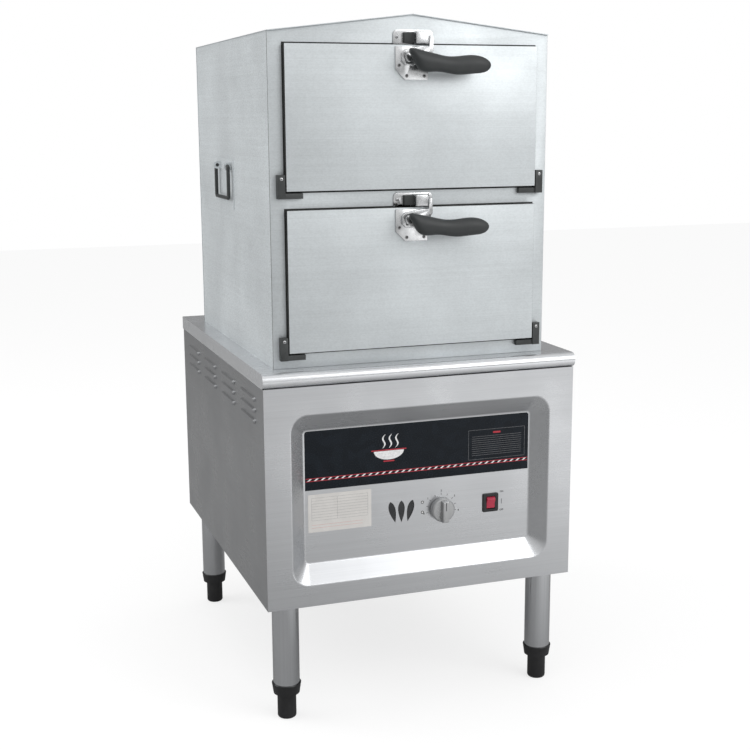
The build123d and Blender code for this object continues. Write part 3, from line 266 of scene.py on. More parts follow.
def brushed_steel(name, colour, roughness, grain="X", mottle=0.06, depth=0.10, speckle=0.0, metal=1.0):
    """Brushed stainless sheet with streaks, cloudy patches, smudges and speckle."""
    made, tree, shader = new_material(name)
    grain_along = 3
    grain_across = 900
    streak_share = 0.16
    stretch = [grain_along if axis == grain else grain_across for axis in "XYZ"]
    wide_stretch = [value * streak_share for value in stretch]
    fine = noise(tree, scale=1.0, detail=3.0, roughness=0.6, stretch=stretch)
    streaks = noise(tree, scale=1.0, detail=2.0, stretch=wide_stretch)
    clouds = noise(tree, scale=5.5, roughness=0.55)
    smudges = noise(tree, scale=9.0, detail=2.0, place=(3.1, 1.7, 0.4))
    dark = shade(colour, 0.93)
    pale = shade(colour, 1.05)
    grained = ramp(tree, fine, dark, pale)
    streaked = ramp(tree, streaks, dark, pale)
    sheet = blend_colours(tree, 0.35, grained, streaked)
    veils = [(clouds, 1 - 2 * mottle, 0.34, 0.66)]
    if speckle:
        dots = noise(tree, scale=260.0, detail=3.0, roughness=0.7, stretch=(1, 1, 1.6))
        veils.append((dots, 1 - speckle, 0.36, 0.60))
    for factor, darkest, low_at, high_at in veils:
        veil = ramp(tree, factor, (darkest,) * 3, (1.0,) * 3, low_at, high_at)
        sheet = blend_colours(tree, 1.0, sheet, veil, "MULTIPLY")
    scratched = spread(tree, fine, -0.03, 0.03)
    smeared = spread(tree, smudges, roughness - 0.04, roughness + 0.05, from_low=0.35, from_high=0.65)
    gloss = maths(tree, "ADD", scratched, smeared)
    cover(tree, shader, sheet, gloss, fine, depth, distance=0.0004, metallic=metal)
    return made


def polished_metal(name, colour, roughness, wear=0.10):
    """Bright pressed or turned metal with handling marks."""
    made, tree, shader = new_material(name)
    marks = noise(tree, scale=90.0, detail=5.0, roughness=0.65)
    clouds = noise(tree, scale=22.0, detail=3.0)
    tone = ramp(tree, clouds, shade(colour, 1 - wear), colour)
    gloss = spread(tree, marks, roughness * 0.7, roughness * 1.6)
    cover(tree, shader, tone, gloss, marks, strength=0.06, distance=0.0006, metallic=1.0)
    return made


def moulded_plastic(name, colour, roughness, grain=700.0, depth=0.12, dust=0.10):
    """Moulded plastic or rubber with a fine grain and a little dust."""
    made, tree, shader = new_material(name)
    pits = noise(tree, scale=grain, detail=2.0)
    dusty = noise(tree, scale=26.0, detail=5.0, roughness=0.6)
    pale = tuple(channel + dust * 0.12 for channel in colour)
    tone = ramp(tree, dusty, colour, pale, low_at=0.42, high_at=0.78)
    gloss = spread(tree, dusty, roughness, roughness + 0.18, from_high=0.75)
    cover(tree, shader, tone, gloss, pits, depth, distance=0.0003)
    return made


def coated_metal(name, colour, roughness, metallic=0.0, chips=0.25):
    """Painted, galvanised or cast metal with cloudy patches and worn spots."""
    made, tree, shader = new_material(name)
    patches = noise(tree, scale=34.0, detail=5.0, roughness=0.6)
    pits = noise(tree, scale=240.0, detail=3.0)
    dark = shade(colour, 1 - chips)
    pale = shade(colour, 1 + chips / 2)
    tone = ramp(tree, patches, dark, pale, high_at=0.72)
    gloss = spread(tree, patches, roughness - 0.08, roughness + 0.12)
    cover(tree, shader, tone, gloss, pits, strength=0.10, distance=0.0005, metallic=metallic)
    return made


def printed_film(name, colour, roughness, cloud=0.35):
    """Printed label film: a ground with a faint tiled mottle under a clear skin."""
    made, tree, shader = new_material(name)
    shader.inputs["Specular IOR Level"].default_value = 0.18
    tiles = add_node(tree, "ShaderNodeTexVoronoi", scale=62.0)
    tree.links.new(object_point(tree), tiles.inputs["Vector"])
    grain = noise(tree, scale=420.0, detail=2.0)
    lighter = tuple(channel * (1 + cloud) + 0.0015 for channel in colour)
    tone = ramp(tree, tiles.outputs["Color"], colour, lighter, high_at=0.9)
    gloss = spread(tree, grain, roughness - 0.05, roughness + 0.07)
    cover(tree, shader, tone, gloss, grain, strength=0.03, distance=0.0002)
    return made


def printed_ink(name, colour):
    """Screen-printed ink, slightly uneven."""
    made, tree, shader = new_material(name)
    uneven = noise(tree, scale=300.0, detail=3.0, roughness=0.6)
    tone = ramp(tree, uneven, shade(colour, 0.8), shade(colour, 1.1))
    gloss = spread(tree, uneven, 0.35, 0.55, from_low=0, from_high=1)
    cover(tree, shader, tone, gloss, uneven, strength=0.05, distance=0.0001)
    return made


MATERIALS = {}


def make_materials(finish):
    """All finishes of the steamer, by the name of what they cover."""
    furnace = tuple(finish.furnace_colour)
    cabinet = tuple(finish.cabinet_colour)
    rough = finish.furnace_roughness
    matte = finish.cabinet_roughness
    steels = {
        "furnace_front": (furnace, rough, {"mottle": 0.02, "depth": 0.04}),
        # The side panels' steel is the furnace colour times 0.72: painted shade.
        "furnace_side": (shade(furnace, 0.72), rough, {"grain": "Y", "mottle": 0.03, "depth": 0.05}),
        # The top plate's steel is the furnace colour times 1.25: painted light.
        "furnace_top": (shade(furnace, 1.25), rough * 0.72, {"mottle": 0.03, "depth": 0.03, "metal": 0.75}),
        "cabinet_front": (
            shade(cabinet, 1.04), matte, {"mottle": 0.05, "depth": 0.14, "speckle": 0.08, "metal": 0.6},
        ),
        "cabinet_door": (shade(cabinet, 1.08), matte, {"depth": 0.14, "speckle": 0.08, "metal": 0.6}),
        # The side panels' steel is the cabinet colour times 1.26: painted light. Its speckle is the sheet's
        # own pebbly texture.
        "cabinet_side": (
            shade(cabinet, 1.26), matte * 1.08,
            {"grain": "Y", "mottle": 0.05, "depth": 0.12, "speckle": 0.20, "metal": 0.35},
        ),
        "inner_steel": (shade(furnace, 0.85), 0.38, {"mottle": 0.08, "depth": 0.08}),
        "leg_steel": (shade(furnace, 1.05), 0.13, {"grain": "Z", "mottle": 0.03, "depth": 0.02}),
    }
    for name, (colour, roughness, values) in steels.items():
        MATERIALS[name] = brushed_steel(name, colour, roughness, **values)
    others = {
        polished_metal: {
            "bright_steel": ((0.70, 0.71, 0.72), 0.20),
            "screw_steel": ((0.30, 0.30, 0.30), 0.34),
            "brass": ((0.72, 0.53, 0.25), 0.24, 0.25),
        },
        moulded_plastic: {
            # The next finish is dark paint for the gaps and edges around the doors: painted shade.
            "seam_rubber": ((0.012, 0.013, 0.012), 0.6, 160.0, 0.3, 0.3),
            "black_plastic": ((0.008, 0.008, 0.009), 0.40),
            "grip_plastic": (tuple(finish.grip_colour), 0.42, 900.0, 0.16, 0.12),
            "gasket_rubber": ((0.06, 0.062, 0.064), 0.62),
            # The next finish darkens the cabinet's front corner notches: painted shade.
            "seal_bead": ((0.05, 0.052, 0.052), 0.7, 160.0, 0.5, 0.5),
            "sight_glass": ((0.010, 0.011, 0.013), 0.06, 90.0, 0.02, 0.3),
            "red_vinyl": ((0.40, 0.02, 0.015), 0.38),
            "rocker_red": (tuple(finish.rocker_colour), 0.22, 300.0, 0.03, 0.02),
        },
        coated_metal: {
            "cast_iron": ((0.035, 0.034, 0.033), 0.65, 0.6),
            "galvanised": ((0.46, 0.48, 0.49), 0.38, 0.9),
            "grey_paint": ((0.17, 0.18, 0.19), 0.45),
            "dark_metal": ((0.060, 0.064, 0.064), 0.42, 0.5),
            "knob_silver": ((0.42, 0.425, 0.43), 0.30, 0.75, 0.10),
        },
        printed_film: {
            "label_film": (tuple(finish.label_colour), 0.24),
            "notice_film": ((0.60, 0.585, 0.565), 0.42, 0.04),
        },
        printed_ink: {
            "white_ink": ((0.78, 0.78, 0.78),),
            "red_ink": ((0.46, 0.018, 0.035),),
            "pink_ink": ((0.62, 0.30, 0.29),),
            "grey_ink": ((0.20, 0.20, 0.21),),
            "dark_ink": ((0.03, 0.03, 0.032),),
        },
    }
    for make, rows in others.items():
        for name, values in rows.items():
            MATERIALS[name] = make(name, *values)


NODE_FINISHES = {
    "furnace_front": ("front_panel", "back_panel"),
    "furnace_side": ("left_side_panel", "right_side_panel"),
    "furnace_top": ("top_plate",),
    "cabinet_front": ("front_frame", "cabinet_back", "roof"),
    "cabinet_side": ("cabinet_left_side", "cabinet_right_side", "handle_plates"),
    "inner_steel": (
        "floor_plate", "leg_brackets", "water_pan", "combustion_shroud", "tray_rails", "cabinet_floor",
    ),
    "leg_steel": ("leg_tubes",),
    "bright_steel": ("furnace_screws", "cabinet_screws"),
    "brass": ("gas_valve", "drain_valve"),
    "black_plastic": (
        "foot_sockets", "foot_front_left", "foot_front_right", "foot_rear_left", "foot_rear_right",
        "switch_bezel", "power_inlet",
    ),
    "cast_iron": ("burner",),
    "galvanised": ("gas_pipe", "drain_pipe"),
    "grey_paint": ("blower_housing", "blower_motor", "blower_impeller"),
    "dark_metal": ("hinge_brackets", "left_bail", "right_bail"),
    "red_vinyl": ("drain_lever",),
    "knob_silver": ("control_knob",),
    "rocker_red": ("rocker_button",),
    "label_film": ("panel_labels",),
}
DOOR_FINISHES = {
    "cabinet_door": ("door_skin",),
    "inner_steel": ("door_liner", "tray"),
    "bright_steel": ("keeper", "latch_plate", "latch_lever", "latch_screws"),
    "grip_plastic": ("latch_grip",),
    "gasket_rubber": ("door_gasket",),
}
FINISH_OF = {node: finish for finish, nodes in NODE_FINISHES.items() for node in nodes}
for finish, ends in DOOR_FINISHES.items():
    FINISH_OF.update({f"{door}_{end}": finish for door in DOORS for end in ends})


# ---- mesh helpers


def finished_mesh(name, builder):
    """Mesh of a bmesh, which is used up."""
    mesh = bpy.data.meshes.new(name)
    builder.to_mesh(mesh)
    builder.free()
    return mesh


def loose_object(name, data):
    """Object in the scene for a mesh or a curve."""
    made = bpy.data.objects.new(name, data)
    bpy.context.scene.collection.objects.link(made)
    return made


def bare_object(name, builder):
    """Object of a bmesh, without a finish."""
    return loose_object(name, finished_mesh(name, builder))


def evaluated_mesh(carrier):
    """Plain mesh of what an object shows; the object is removed."""
    graph = bpy.context.evaluated_depsgraph_get()
    mesh = bpy.data.meshes.new_from_object(carrier.evaluated_get(graph))
    bpy.data.objects.remove(carrier)
    return mesh


def new_piece(name, builder, finish, body=STEAMER_BODY):
    """Piece from a bmesh, with its finish, riding on a body."""
    return place_piece(name, finished_mesh(name, builder), finish, body)


def place_piece(name, mesh, finish, body, smooth_angle=30.0):
    """Object for a finished mesh."""
    mesh.name = name
    made = loose_object(name, mesh)
    mesh.materials.clear()
    mesh.materials.append(MATERIALS[finish])
    mesh.polygons.foreach_set("material_index", [0] * len(mesh.polygons))
    mesh.polygons.foreach_set("use_smooth", [True] * len(mesh.polygons))
    mesh.set_sharp_from_angle(angle=radians(smooth_angle))
    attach(made, body)
    return made


def add_box(builder, low, high):
    """Box between two corners, in a bmesh."""
    size = [b - a for a, b in zip(low, high)]
    middle = [(a + b) / 2 for a, b in zip(low, high)]
    matrix = Matrix.Translation(middle) @ Matrix.Diagonal((*size, 1))
    bmesh.ops.create_cube(builder, size=1.0, matrix=matrix)


def add_outline(builder, points, y_back, y_front):
    """Plate with an outline of (x, z) points, standing from one depth to another."""
    back = [builder.verts.new((x, y_back, z)) for x, z in points]
    front = [builder.verts.new((x, y_front, z)) for x, z in points]
    builder.faces.new(front)
    builder.faces.new(list(reversed(back)))
    count = len(points)
    for index in range(count):
        after = (index + 1) % count
        builder.faces.new((back[index], back[after], front[after], front[index]))
    bmesh.ops.recalc_face_normals(builder, faces=builder.faces)


def rounded_outline(x_low, x_high, z_low, z_high, radius, steps=6):
    """Corner-rounded rectangle as (x, z) points, anticlockwise."""
    corners = (
        (x_high - radius, z_low + radius, -90), (x_high - radius, z_high - radius, 0),
        (x_low + radius, z_high - radius, 90), (x_low + radius, z_low + radius, 180),
    )
    points = []
    for x, z, start in corners:
        for step in range(steps + 1):
            angle = radians(start + 90 * step / steps)
            points.append((x + radius * cos(angle), z + radius * sin(angle)))
    return points


def centred_outline(x, z, half_width, half_height, radius, steps=6):
    """Corner-rounded rectangle about a middle."""
    return rounded_outline(x - half_width, x + half_width, z - half_height, z + half_height, radius, steps)


def softened(node, width, segments=2):
    """Copy of a CAD node with its sharp edges rounded, which replaces the node."""
    builder = bmesh.new()
    builder.from_mesh(frame["nodes"][node].data)
    bmesh.ops.remove_doubles(builder, verts=builder.verts, dist=1e-6)
    bmesh.ops.dissolve_limit(
        builder, angle_limit=radians(0.5), verts=builder.verts, edges=builder.edges,
        use_dissolve_boundaries=False,
    )
    rough = bare_object(f"{node}_copy", builder)
    rounding = rough.modifiers.new("round", "BEVEL")
    rounding.width = width
    rounding.segments = segments
    rounding.limit_method = "ANGLE"
    rounding.angle_limit = radians(35)
    made = place_piece(f"{node}_finished", evaluated_mesh(rough), FINISH_OF[node], body_of_node(node))
    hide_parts(node)
    return made


def paint_faces(made, finish, wanted):
    """Gives another finish to the faces whose middle passes a test."""
    made.data.materials.append(MATERIALS[finish])
    slot = len(made.data.materials) - 1
    for face in made.data.polygons:
        if wanted(face.center):
            face.material_index = slot


def body_of_node(node):
    """Name of the body that a CAD node belongs to."""
    for body, nodes in frame["record"]["behaviour"]["bodies"].items():
        if node in nodes:
            return body
    raise ValueError(f"{node} is in no body")


def level_line(left, right, z, width=LINE_WIDTH):
    """Printed line along X, as a bar."""
    return left, right, z - width / 2, z + width / 2


def upright_line(x, low, high, width=LINE_WIDTH):
    """Printed line along Z, as a bar."""
    return x - width / 2, x + width / 2, low, high


def print_bars(name, bars, finish, back=FILM_FRONT, front=PRINT_FRONT):
    """Bars of (left, right, low, high), as one piece."""
    builder = bmesh.new()
    for left, right, low, high in bars:
        add_box(builder, (left, front, low), (right, back, high))
    new_piece(name, builder, finish)


def print_shapes(name, outlines, finish, back=FILM_FRONT, front=PRINT_FRONT):
    """Flat shapes with outlines of (x, z) points, as one piece."""
    builder = bmesh.new()
    for outline in outlines:
        add_outline(builder, outline, back, front)
    return new_piece(name, builder, finish)


def print_text(name, words, x, z, size):
    """Small printed figure on the recess floor, as a mesh."""
    curve = bpy.data.curves.new(name, "FONT")
    curve.body = words
    curve.size = size
    curve.align_x = "CENTER"
    curve.align_y = "CENTER"
    curve.extrude = MARK_INK / 2
    curve.offset = 0.035 * size
    mesh = evaluated_mesh(loose_object(f"{name}_text", curve))
    upright = Matrix.Rotation(radians(90), 4, "X")
    mesh.transform(Matrix.Translation((x, RECESS_FLOOR - MARK_INK / 2, z)) @ upright)
    place_piece(name, mesh, "dark_ink", STEAMER_BODY)


# ---- geometry nodes


def geometry_tree(name, inputs):
    """Tree with named inputs, their sockets and their identifiers."""
    tree = bpy.data.node_groups.new(name, "GeometryNodeTree")
    ids = {}
    for label, kind, default in (*inputs, ("Template", "Object", None), ("Finish", "Material", None)):
        socket = tree.interface.new_socket(label, in_out="INPUT", socket_type=f"NodeSocket{kind}")
        if default is not None:
            socket.default_value = default
        ids[label] = socket.identifier
    tree.interface.new_socket("Geometry", in_out="OUTPUT", socket_type="NodeSocketGeometry")
    return tree, add_node(tree, "NodeGroupInput").outputs, ids


def place_copies(tree, given, points, turn):
    """Copies of the template on points, made real, with their finish."""
    info = add_node(tree, "GeometryNodeObjectInfo")
    place = add_node(tree, "GeometryNodeInstanceOnPoints")
    real = add_node(tree, "GeometryNodeRealizeInstances")
    finish = add_node(tree, "GeometryNodeSetMaterial")
    result = add_node(tree, "NodeGroupOutput")
    link = tree.links.new
    link(given["Template"], info.inputs["Object"])
    link(info.outputs["Geometry"], place.inputs["Instance"])
    link(points, place.inputs["Points"])
    link(turn, place.inputs["Rotation"])
    link(place.outputs["Instances"], real.inputs["Geometry"])
    link(real.outputs["Geometry"], finish.inputs["Geometry"])
    link(given["Finish"], finish.inputs["Material"])
    link(finish.outputs["Geometry"], result.inputs["Geometry"])


def vector_sum(tree, first, second):
    """Sum of two vector sockets."""
    made = add_node(tree, "ShaderNodeVectorMath", operation="ADD")
    tree.links.new(first, made.inputs[0])
    tree.links.new(second, made.inputs[1])
    return made.outputs[0]


def copies_tree(name):
    """Copies of a template on a mesh's vertices, turned alike and then each about Y."""
    tree, given, ids = geometry_tree(name, (
        ("Geometry", "Geometry", None), ("Turn", "Vector", (0.0, 0.0, 0.0)), ("Wobble", "Float", 0.0),
        ("Seed", "Int", 7),
    ))
    spin = add_node(tree, "FunctionNodeRandomValue", data_type="FLOAT")
    own_turn = add_node(tree, "ShaderNodeCombineXYZ")
    link = tree.links.new
    link(maths(tree, "MULTIPLY", given["Wobble"], -1.0), spin.inputs[2])
    link(given["Wobble"], spin.inputs[3])
    link(given["Seed"], spin.inputs["Seed"])
    link(spin.outputs[1], own_turn.inputs["Y"])
    place_copies(tree, given, given["Geometry"], vector_sum(tree, given["Turn"], own_turn.outputs[0]))
    return tree, ids


def arc_tree(name):
    """Copies of a template on part of a circle in the XZ plane, each pointing outwards."""
    tree, given, ids = geometry_tree(name, (
        ("Count", "Int", 9), ("Sweep", "Float", 3.0), ("Radius", "Float", 0.03),
        ("Middle", "Vector", (0.0, 0.0, 0.0)),
    ))
    points = add_node(tree, "GeometryNodePoints")
    index = add_node(tree, "GeometryNodeInputIndex")
    share = maths(tree, "DIVIDE", index.outputs[0], maths(tree, "SUBTRACT", given["Count"], 1.0))
    angle = maths(tree, "MULTIPLY", maths(tree, "SUBTRACT", share, 0.5), given["Sweep"])
    turn = add_node(tree, "ShaderNodeCombineXYZ")
    arm = add_node(tree, "ShaderNodeCombineXYZ")
    swing = add_node(tree, "ShaderNodeVectorRotate", rotation_type="Y_AXIS")
    move = add_node(tree, "GeometryNodeSetPosition")
    link = tree.links.new
    link(given["Count"], points.inputs["Count"])
    link(angle, turn.inputs["Y"])
    link(given["Radius"], arm.inputs["Z"])
    link(arm.outputs[0], swing.inputs["Vector"])
    link(angle, swing.inputs["Angle"])
    link(points.outputs[0], move.inputs["Geometry"])
    link(vector_sum(tree, swing.outputs[0], given["Middle"]), move.inputs["Position"])
    place_copies(tree, given, move.outputs[0], turn.outputs[0])
    return tree, ids


def grown(name, tree_and_ids, values, finish, body=STEAMER_BODY, points=(), smooth_angle=30.0):
    """Piece grown by a geometry tree, turned into a plain mesh."""
    tree, ids = tree_and_ids
    base = bpy.data.meshes.new(f"{name}_points")
    base.from_pydata(points, [], [])
    carrier = loose_object(f"{name}_carrier", base)
    grower = carrier.modifiers.new("grow", "NODES")
    grower.node_group = tree
    for key, value in {**values, "Finish": MATERIALS[finish]}.items():
        grower[ids[key]] = value
    return place_piece(name, evaluated_mesh(carrier), finish, body, smooth_angle)


# ---- operators


class STEAMER_OT_finishes(Operator):
    """Gives every CAD node its finish"""

    bl_idname = "steamer.finishes"
    bl_label = "Dress the sheet metal"

    def execute(self, context):
        make_materials(context.scene.steamer_finish)
        for node, finish in FINISH_OF.items():
            for material_slot in frame["nodes"][node].material_slots:
                material_slot.material = MATERIALS[finish]
        return {"FINISHED"}


def paint_shoulder(keeper, low, high):
    """Dark paint on the part of a keeper that stands out from its plate: partly its own dark body, partly
    painted shade beside the bright block.
    """
    left = low[0] + 18 * MM
    right = low[0] + 36.2 * MM
    plate_face = high[1] - 2.1 * MM
    paint_faces(keeper, "dark_metal", lambda at: left < at.x < right and at.y < plate_face)


class STEAMER_OT_folded_edges(Operator):
    """Rounds the folded edges of doors, frame, brackets and latches"""

    bl_idname = "steamer.folded_edges"
    bl_label = "Round the folded edges"

    def execute(self, context):
        width = context.scene.steamer_trim.edge_round
        for door in DOORS:
            skin = softened(f"{door}_door_skin", width * 1.6, 3)
            low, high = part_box(f"{door}_door_skin")
            rim = width * 1.2
            # The skin's rim faces get the dark gap colour: painted shade on the door's edge.
            paint_faces(skin, "seam_rubber", lambda at: (
                min(at.x - low[0], high[0] - at.x, at.z - low[2], high[2] - at.z) < rim
            ))
            # The keeper's shoulder is darkened: partly its own dark body, partly painted shade.
            paint_shoulder(softened(f"{door}_keeper", width, 3), *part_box(f"{door}_keeper"))
            softened(f"{door}_latch_plate", width * 0.8)
            softened(f"{door}_latch_lever", width * 1.6, 3)
        softened("hinge_brackets", width * 1.8, 3)
        softened("front_frame", width)
        softened("control_knob", width, 3)
        softened("switch_bezel", width * 0.6)
        softened("rocker_button", width * 0.6)
        return {"FINISHED"}


def print_stripe(trim, left, right, z):
    """Two red lines with slanted dashes between them."""
    margin = 1 * MM
    line = 1.2 * MM
    edges = (z - trim.stripe_height / 2, z + trim.stripe_height / 2)
    lines = [level_line(left + margin, right - margin, edge, line) for edge in edges]
    print_bars("label_stripe", lines, "red_ink")
    pitch = (right - left - 4 * margin) / trim.stripe_dashes
    reach = pitch * 0.36
    rise = trim.stripe_height * 0.40
    builder = bmesh.new()
    slant = [(-reach, -rise), (-reach * 0.1, -rise), (reach, rise), (reach * 0.1, rise)]
    add_outline(builder, slant, 0.0, -LABEL_INK)
    dash = bare_object("dash_template", builder)
    start = left + 2 * margin + pitch / 2
    points = [(start + number * pitch, FILM_FRONT, z) for number in range(trim.stripe_dashes)]
    tree = copies_tree("label_dash_copies")
    grown("label_dashes", tree, {"Template": dash}, "white_ink", points=points)
    bpy.data.objects.remove(dash)


def print_text_block(label_right, label_low):
    """Framed block of ruled lines under a red bar."""
    left = label_right - 126 * MM
    right = label_right - 8 * MM
    low = label_low + 28 * MM
    high = label_low + 86 * MM
    sides = [upright_line(x, low, high) for x in (left, right)]
    ends = [level_line(left, right, z) for z in (low, high)]
    print_bars("label_frame", sides + ends, "grey_ink")
    rules = 10
    rule_pitch = 4.1 * MM
    first_rule = high - 13 * MM
    inset = 7 * MM
    heights = [first_rule - row * rule_pitch for row in range(rules)]
    print_bars("label_rules", [level_line(left + inset, right - inset, z) for z in heights], "grey_ink")
    middle = (left + right) / 2
    half = 8 * MM
    bar = rounded_outline(middle - half, middle + half, high - 8.6 * MM, high - 5 * MM, 1.7 * MM)
    print_shapes("label_red_bar", [bar], "red_ink")


def print_emblem(x, z):
    """Plain emblem: a bowl under three curls of steam, white with red rims."""
    curl_pitch = 13 * MM
    white = [steam_curl(x + number * curl_pitch, z) for number in (-1, 0, 1)]
    bowl_width = 30 * MM
    bowl_depth = 17 * MM
    brim = z - 4 * MM
    angles = [radians(180 + 10 * step) for step in range(19)]
    white.append([(x + bowl_width * cos(angle), brim + bowl_depth * sin(angle)) for angle in angles])
    print_shapes("emblem_bowl", white, "white_ink")
    top = 35 * MM
    foot = 11 * MM
    rims = [
        rounded_outline(x - top, x + top, z - 3.4 * MM, z - 1.4 * MM, 0.9 * MM),
        rounded_outline(x - foot, x + foot, z - 25 * MM, z - 22.6 * MM, 1.1 * MM),
    ]
    print_shapes("emblem_rims", rims, "red_ink")


def steam_curl(x, z):
    """Outline of one curl of steam, thick in the middle and thin at its ends."""
    steps = 16
    left = []
    right = []
    for step in range(steps + 1):
        share = step / steps
        bend = 3.4 * MM * sin(radians(360 * share))
        lean = 6 * MM * share
        half = 1.5 * MM * sin(radians(180 * share)) ** 0.6 + 0.15 * MM
        height = z + (1 + 27 * share) * MM
        right.append((x + bend + lean + half, height))
        left.append((x + bend + lean - half, height))
    return right + left[::-1]


def print_notice_lines(left, bottom):
    """Ruled table and two footer lines on the notice plate."""
    columns = [left + 12 * MM, left + 62 * MM, left + 122 * MM]
    top = bottom + 66 * MM
    low = bottom + 22.8 * MM
    rows = 9
    row_pitch = 5.4 * MM
    heights = [top - row * row_pitch for row in range(rows)]
    table = [level_line(columns[0], columns[-1], z, FINE_LINE) for z in heights]
    table += [upright_line(x, low, top, FINE_LINE) for x in columns]
    print_bars("notice_rules", table, "grey_ink")
    footer_right = left + 112 * MM
    footer = [level_line(columns[0], footer_right, bottom + lift) for lift in (14 * MM, 8.5 * MM)]
    print_bars("notice_footer", footer, "pink_ink")


class STEAMER_OT_label(Operator):
    """Makes the long label with its stripe, and the pale notice plate with its ruled lines"""

    bl_idname = "steamer.label"
    bl_label = "Make the labels"

    def execute(self, context):
        low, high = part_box("panel_labels")
        label_low = high[2] - 112.5 * MM
        corner = 5.4 * MM
        square_foot = [(low[0], label_low), (high[0], label_low)]
        whole = rounded_outline(low[0], high[0], label_low, high[2], corner)
        outline = square_foot + [point for point in whole if point[1] > label_low + corner]
        label = print_shapes("label_plate", [outline], "label_film", RECESS_FLOOR, FILM_FRONT)
        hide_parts("panel_labels")
        notice_left = low[0] + 5 * MM
        notice_right = low[0] + 129 * MM
        notice = rounded_outline(notice_left, notice_right, low[2], low[2] + 73 * MM, 1.5 * MM)
        print_shapes("notice_plate", [notice], "notice_film", RECESS_FLOOR, FILM_FRONT)

        stripe_z = label_low + 20 * MM
        emblem_x = (low[0] + high[0]) / 2 - 62 * MM
        print_stripe(context.scene.steamer_trim, low[0], high[0], stripe_z)
        print_text_block(high[0], label_low)
        print_emblem(emblem_x, (stripe_z + high[2]) / 2)
        print_notice_lines(low[0], low[2])
        return {"FINISHED"}


def print_dial(trim, x, z):
    """Ticks and numbers around the knob."""
    half_width = 0.45 * MM
    half_length = 2 * MM
    builder = bmesh.new()
    add_box(builder, (-half_width, -MARK_INK, -half_length), (half_width, 0, half_length))
    tick = bare_object("tick_template", builder)
    values = {
        "Template": tick, "Count": trim.dial_ticks, "Sweep": trim.dial_sweep, "Radius": trim.dial_radius,
        "Middle": (x, RECESS_FLOOR, z),
    }
    grown("dial_ticks", arc_tree("dial_tick_copies"), values, "dark_ink")
    bpy.data.objects.remove(tick)
    numbers = 5
    reach = trim.dial_radius + 6.5 * MM
    for number in range(numbers):
        angle = trim.dial_sweep * (number / (numbers - 1) - 0.5)
        place = (x + reach * sin(angle), z + reach * cos(angle))
        print_text(f"dial_number_{number}", str(number), *place, 5.2 * MM)


def print_switch_marks():
    """Words and a line beside the switch."""
    low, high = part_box("switch_bezel")
    x = high[0] + 7.5 * MM
    lift = 1 * MM
    letter = 4.6 * MM
    print_text("switch_on", "ON", x, high[2] + lift, letter)
    print_text("switch_off", "OFF", x, low[2] + lift, letter)
    middle = (low[2] + high[2]) / 2
    half = 5 * MM
    line = upright_line(x, middle - half, middle + half, 1 * MM)
    print_bars("switch_line", [line], "dark_ink", RECESS_FLOOR, RECESS_FLOOR - MARK_INK)


def print_pointer(x, z, face, top):
    """Dark line on the grip of the knob, which turns with it."""
    half = 0.8 * MM
    start = z + 3 * MM
    end = top - 4 * MM
    builder = bmesh.new()
    add_box(builder, (x - half, face - 0.1 * MM, start), (x + half, face + 0.3 * MM, end))
    new_piece("knob_pointer", builder, "dark_ink", "control_knob")


def print_round_marks(x, knob_z):
    """Two round marks left of the dial, each a dark ring with a pale eye."""
    ring_front = RECESS_FLOOR - MARK_INK
    ring = 3 * MM
    eye = 1.6 * MM
    flat = 0.01 * MM
    for number, lift in enumerate((17 * MM, -3 * MM)):
        z = knob_z + lift
        outer = centred_outline(x, z, ring, ring, ring - flat, 8)
        inner = centred_outline(x, z, eye, eye, eye - flat)
        print_shapes(f"spark_dot_{number}", [outer], "dark_ink", RECESS_FLOOR, ring_front)
        print_shapes(f"spark_eye_{number}", [inner], "white_ink", ring_front, ring_front - MARK_INK)


class STEAMER_OT_marks(Operator):
    """Prints the dial's ticks and plain numbers, the switch's marks and the pointer on the knob"""

    bl_idname = "steamer.marks"
    bl_label = "Print the dial and switch marks"

    def execute(self, context):
        low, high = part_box("control_knob")
        knob_x = (low[0] + high[0]) / 2
        knob_z = (low[2] + high[2]) / 2
        print_dial(context.scene.steamer_trim, knob_x, knob_z)
        print_switch_marks()
        print_pointer(knob_x, knob_z, low[1], high[2])
        print_round_marks(knob_x - 38.7 * MM, knob_z)
        return {"FINISHED"}


class STEAMER_OT_sight_pane(Operator):
    """Puts the dark glass pane and its clips behind the flame sights"""

    bl_idname = "steamer.sight_pane"
    bl_label = "Fit the sight glass"

    def execute(self, context):
        x = PANEL_CORNER[0] + 271 * MM
        z = PANEL_CORNER[2] + 156.5 * MM
        panel_back = RECESS_FLOOR + PANEL_SHEET
        glass_front = panel_back + 0.1 * MM
        glass_back = panel_back + 2.4 * MM
        clip_back = panel_back + 3.6 * MM
        pane = centred_outline(x, z, 36 * MM, 29 * MM, 3 * MM)
        print_shapes("sight_pane", [pane], "sight_glass", glass_back, glass_front)
        half_width = 4 * MM
        half_height = 10 * MM
        middles = (x - 33 * MM, x + 33 * MM)
        clips = [(at - half_width, at + half_width, z - half_height, z + half_height) for at in middles]
        print_bars("sight_clips", clips, "inner_steel", clip_back, glass_back)
        return {"FINISHED"}


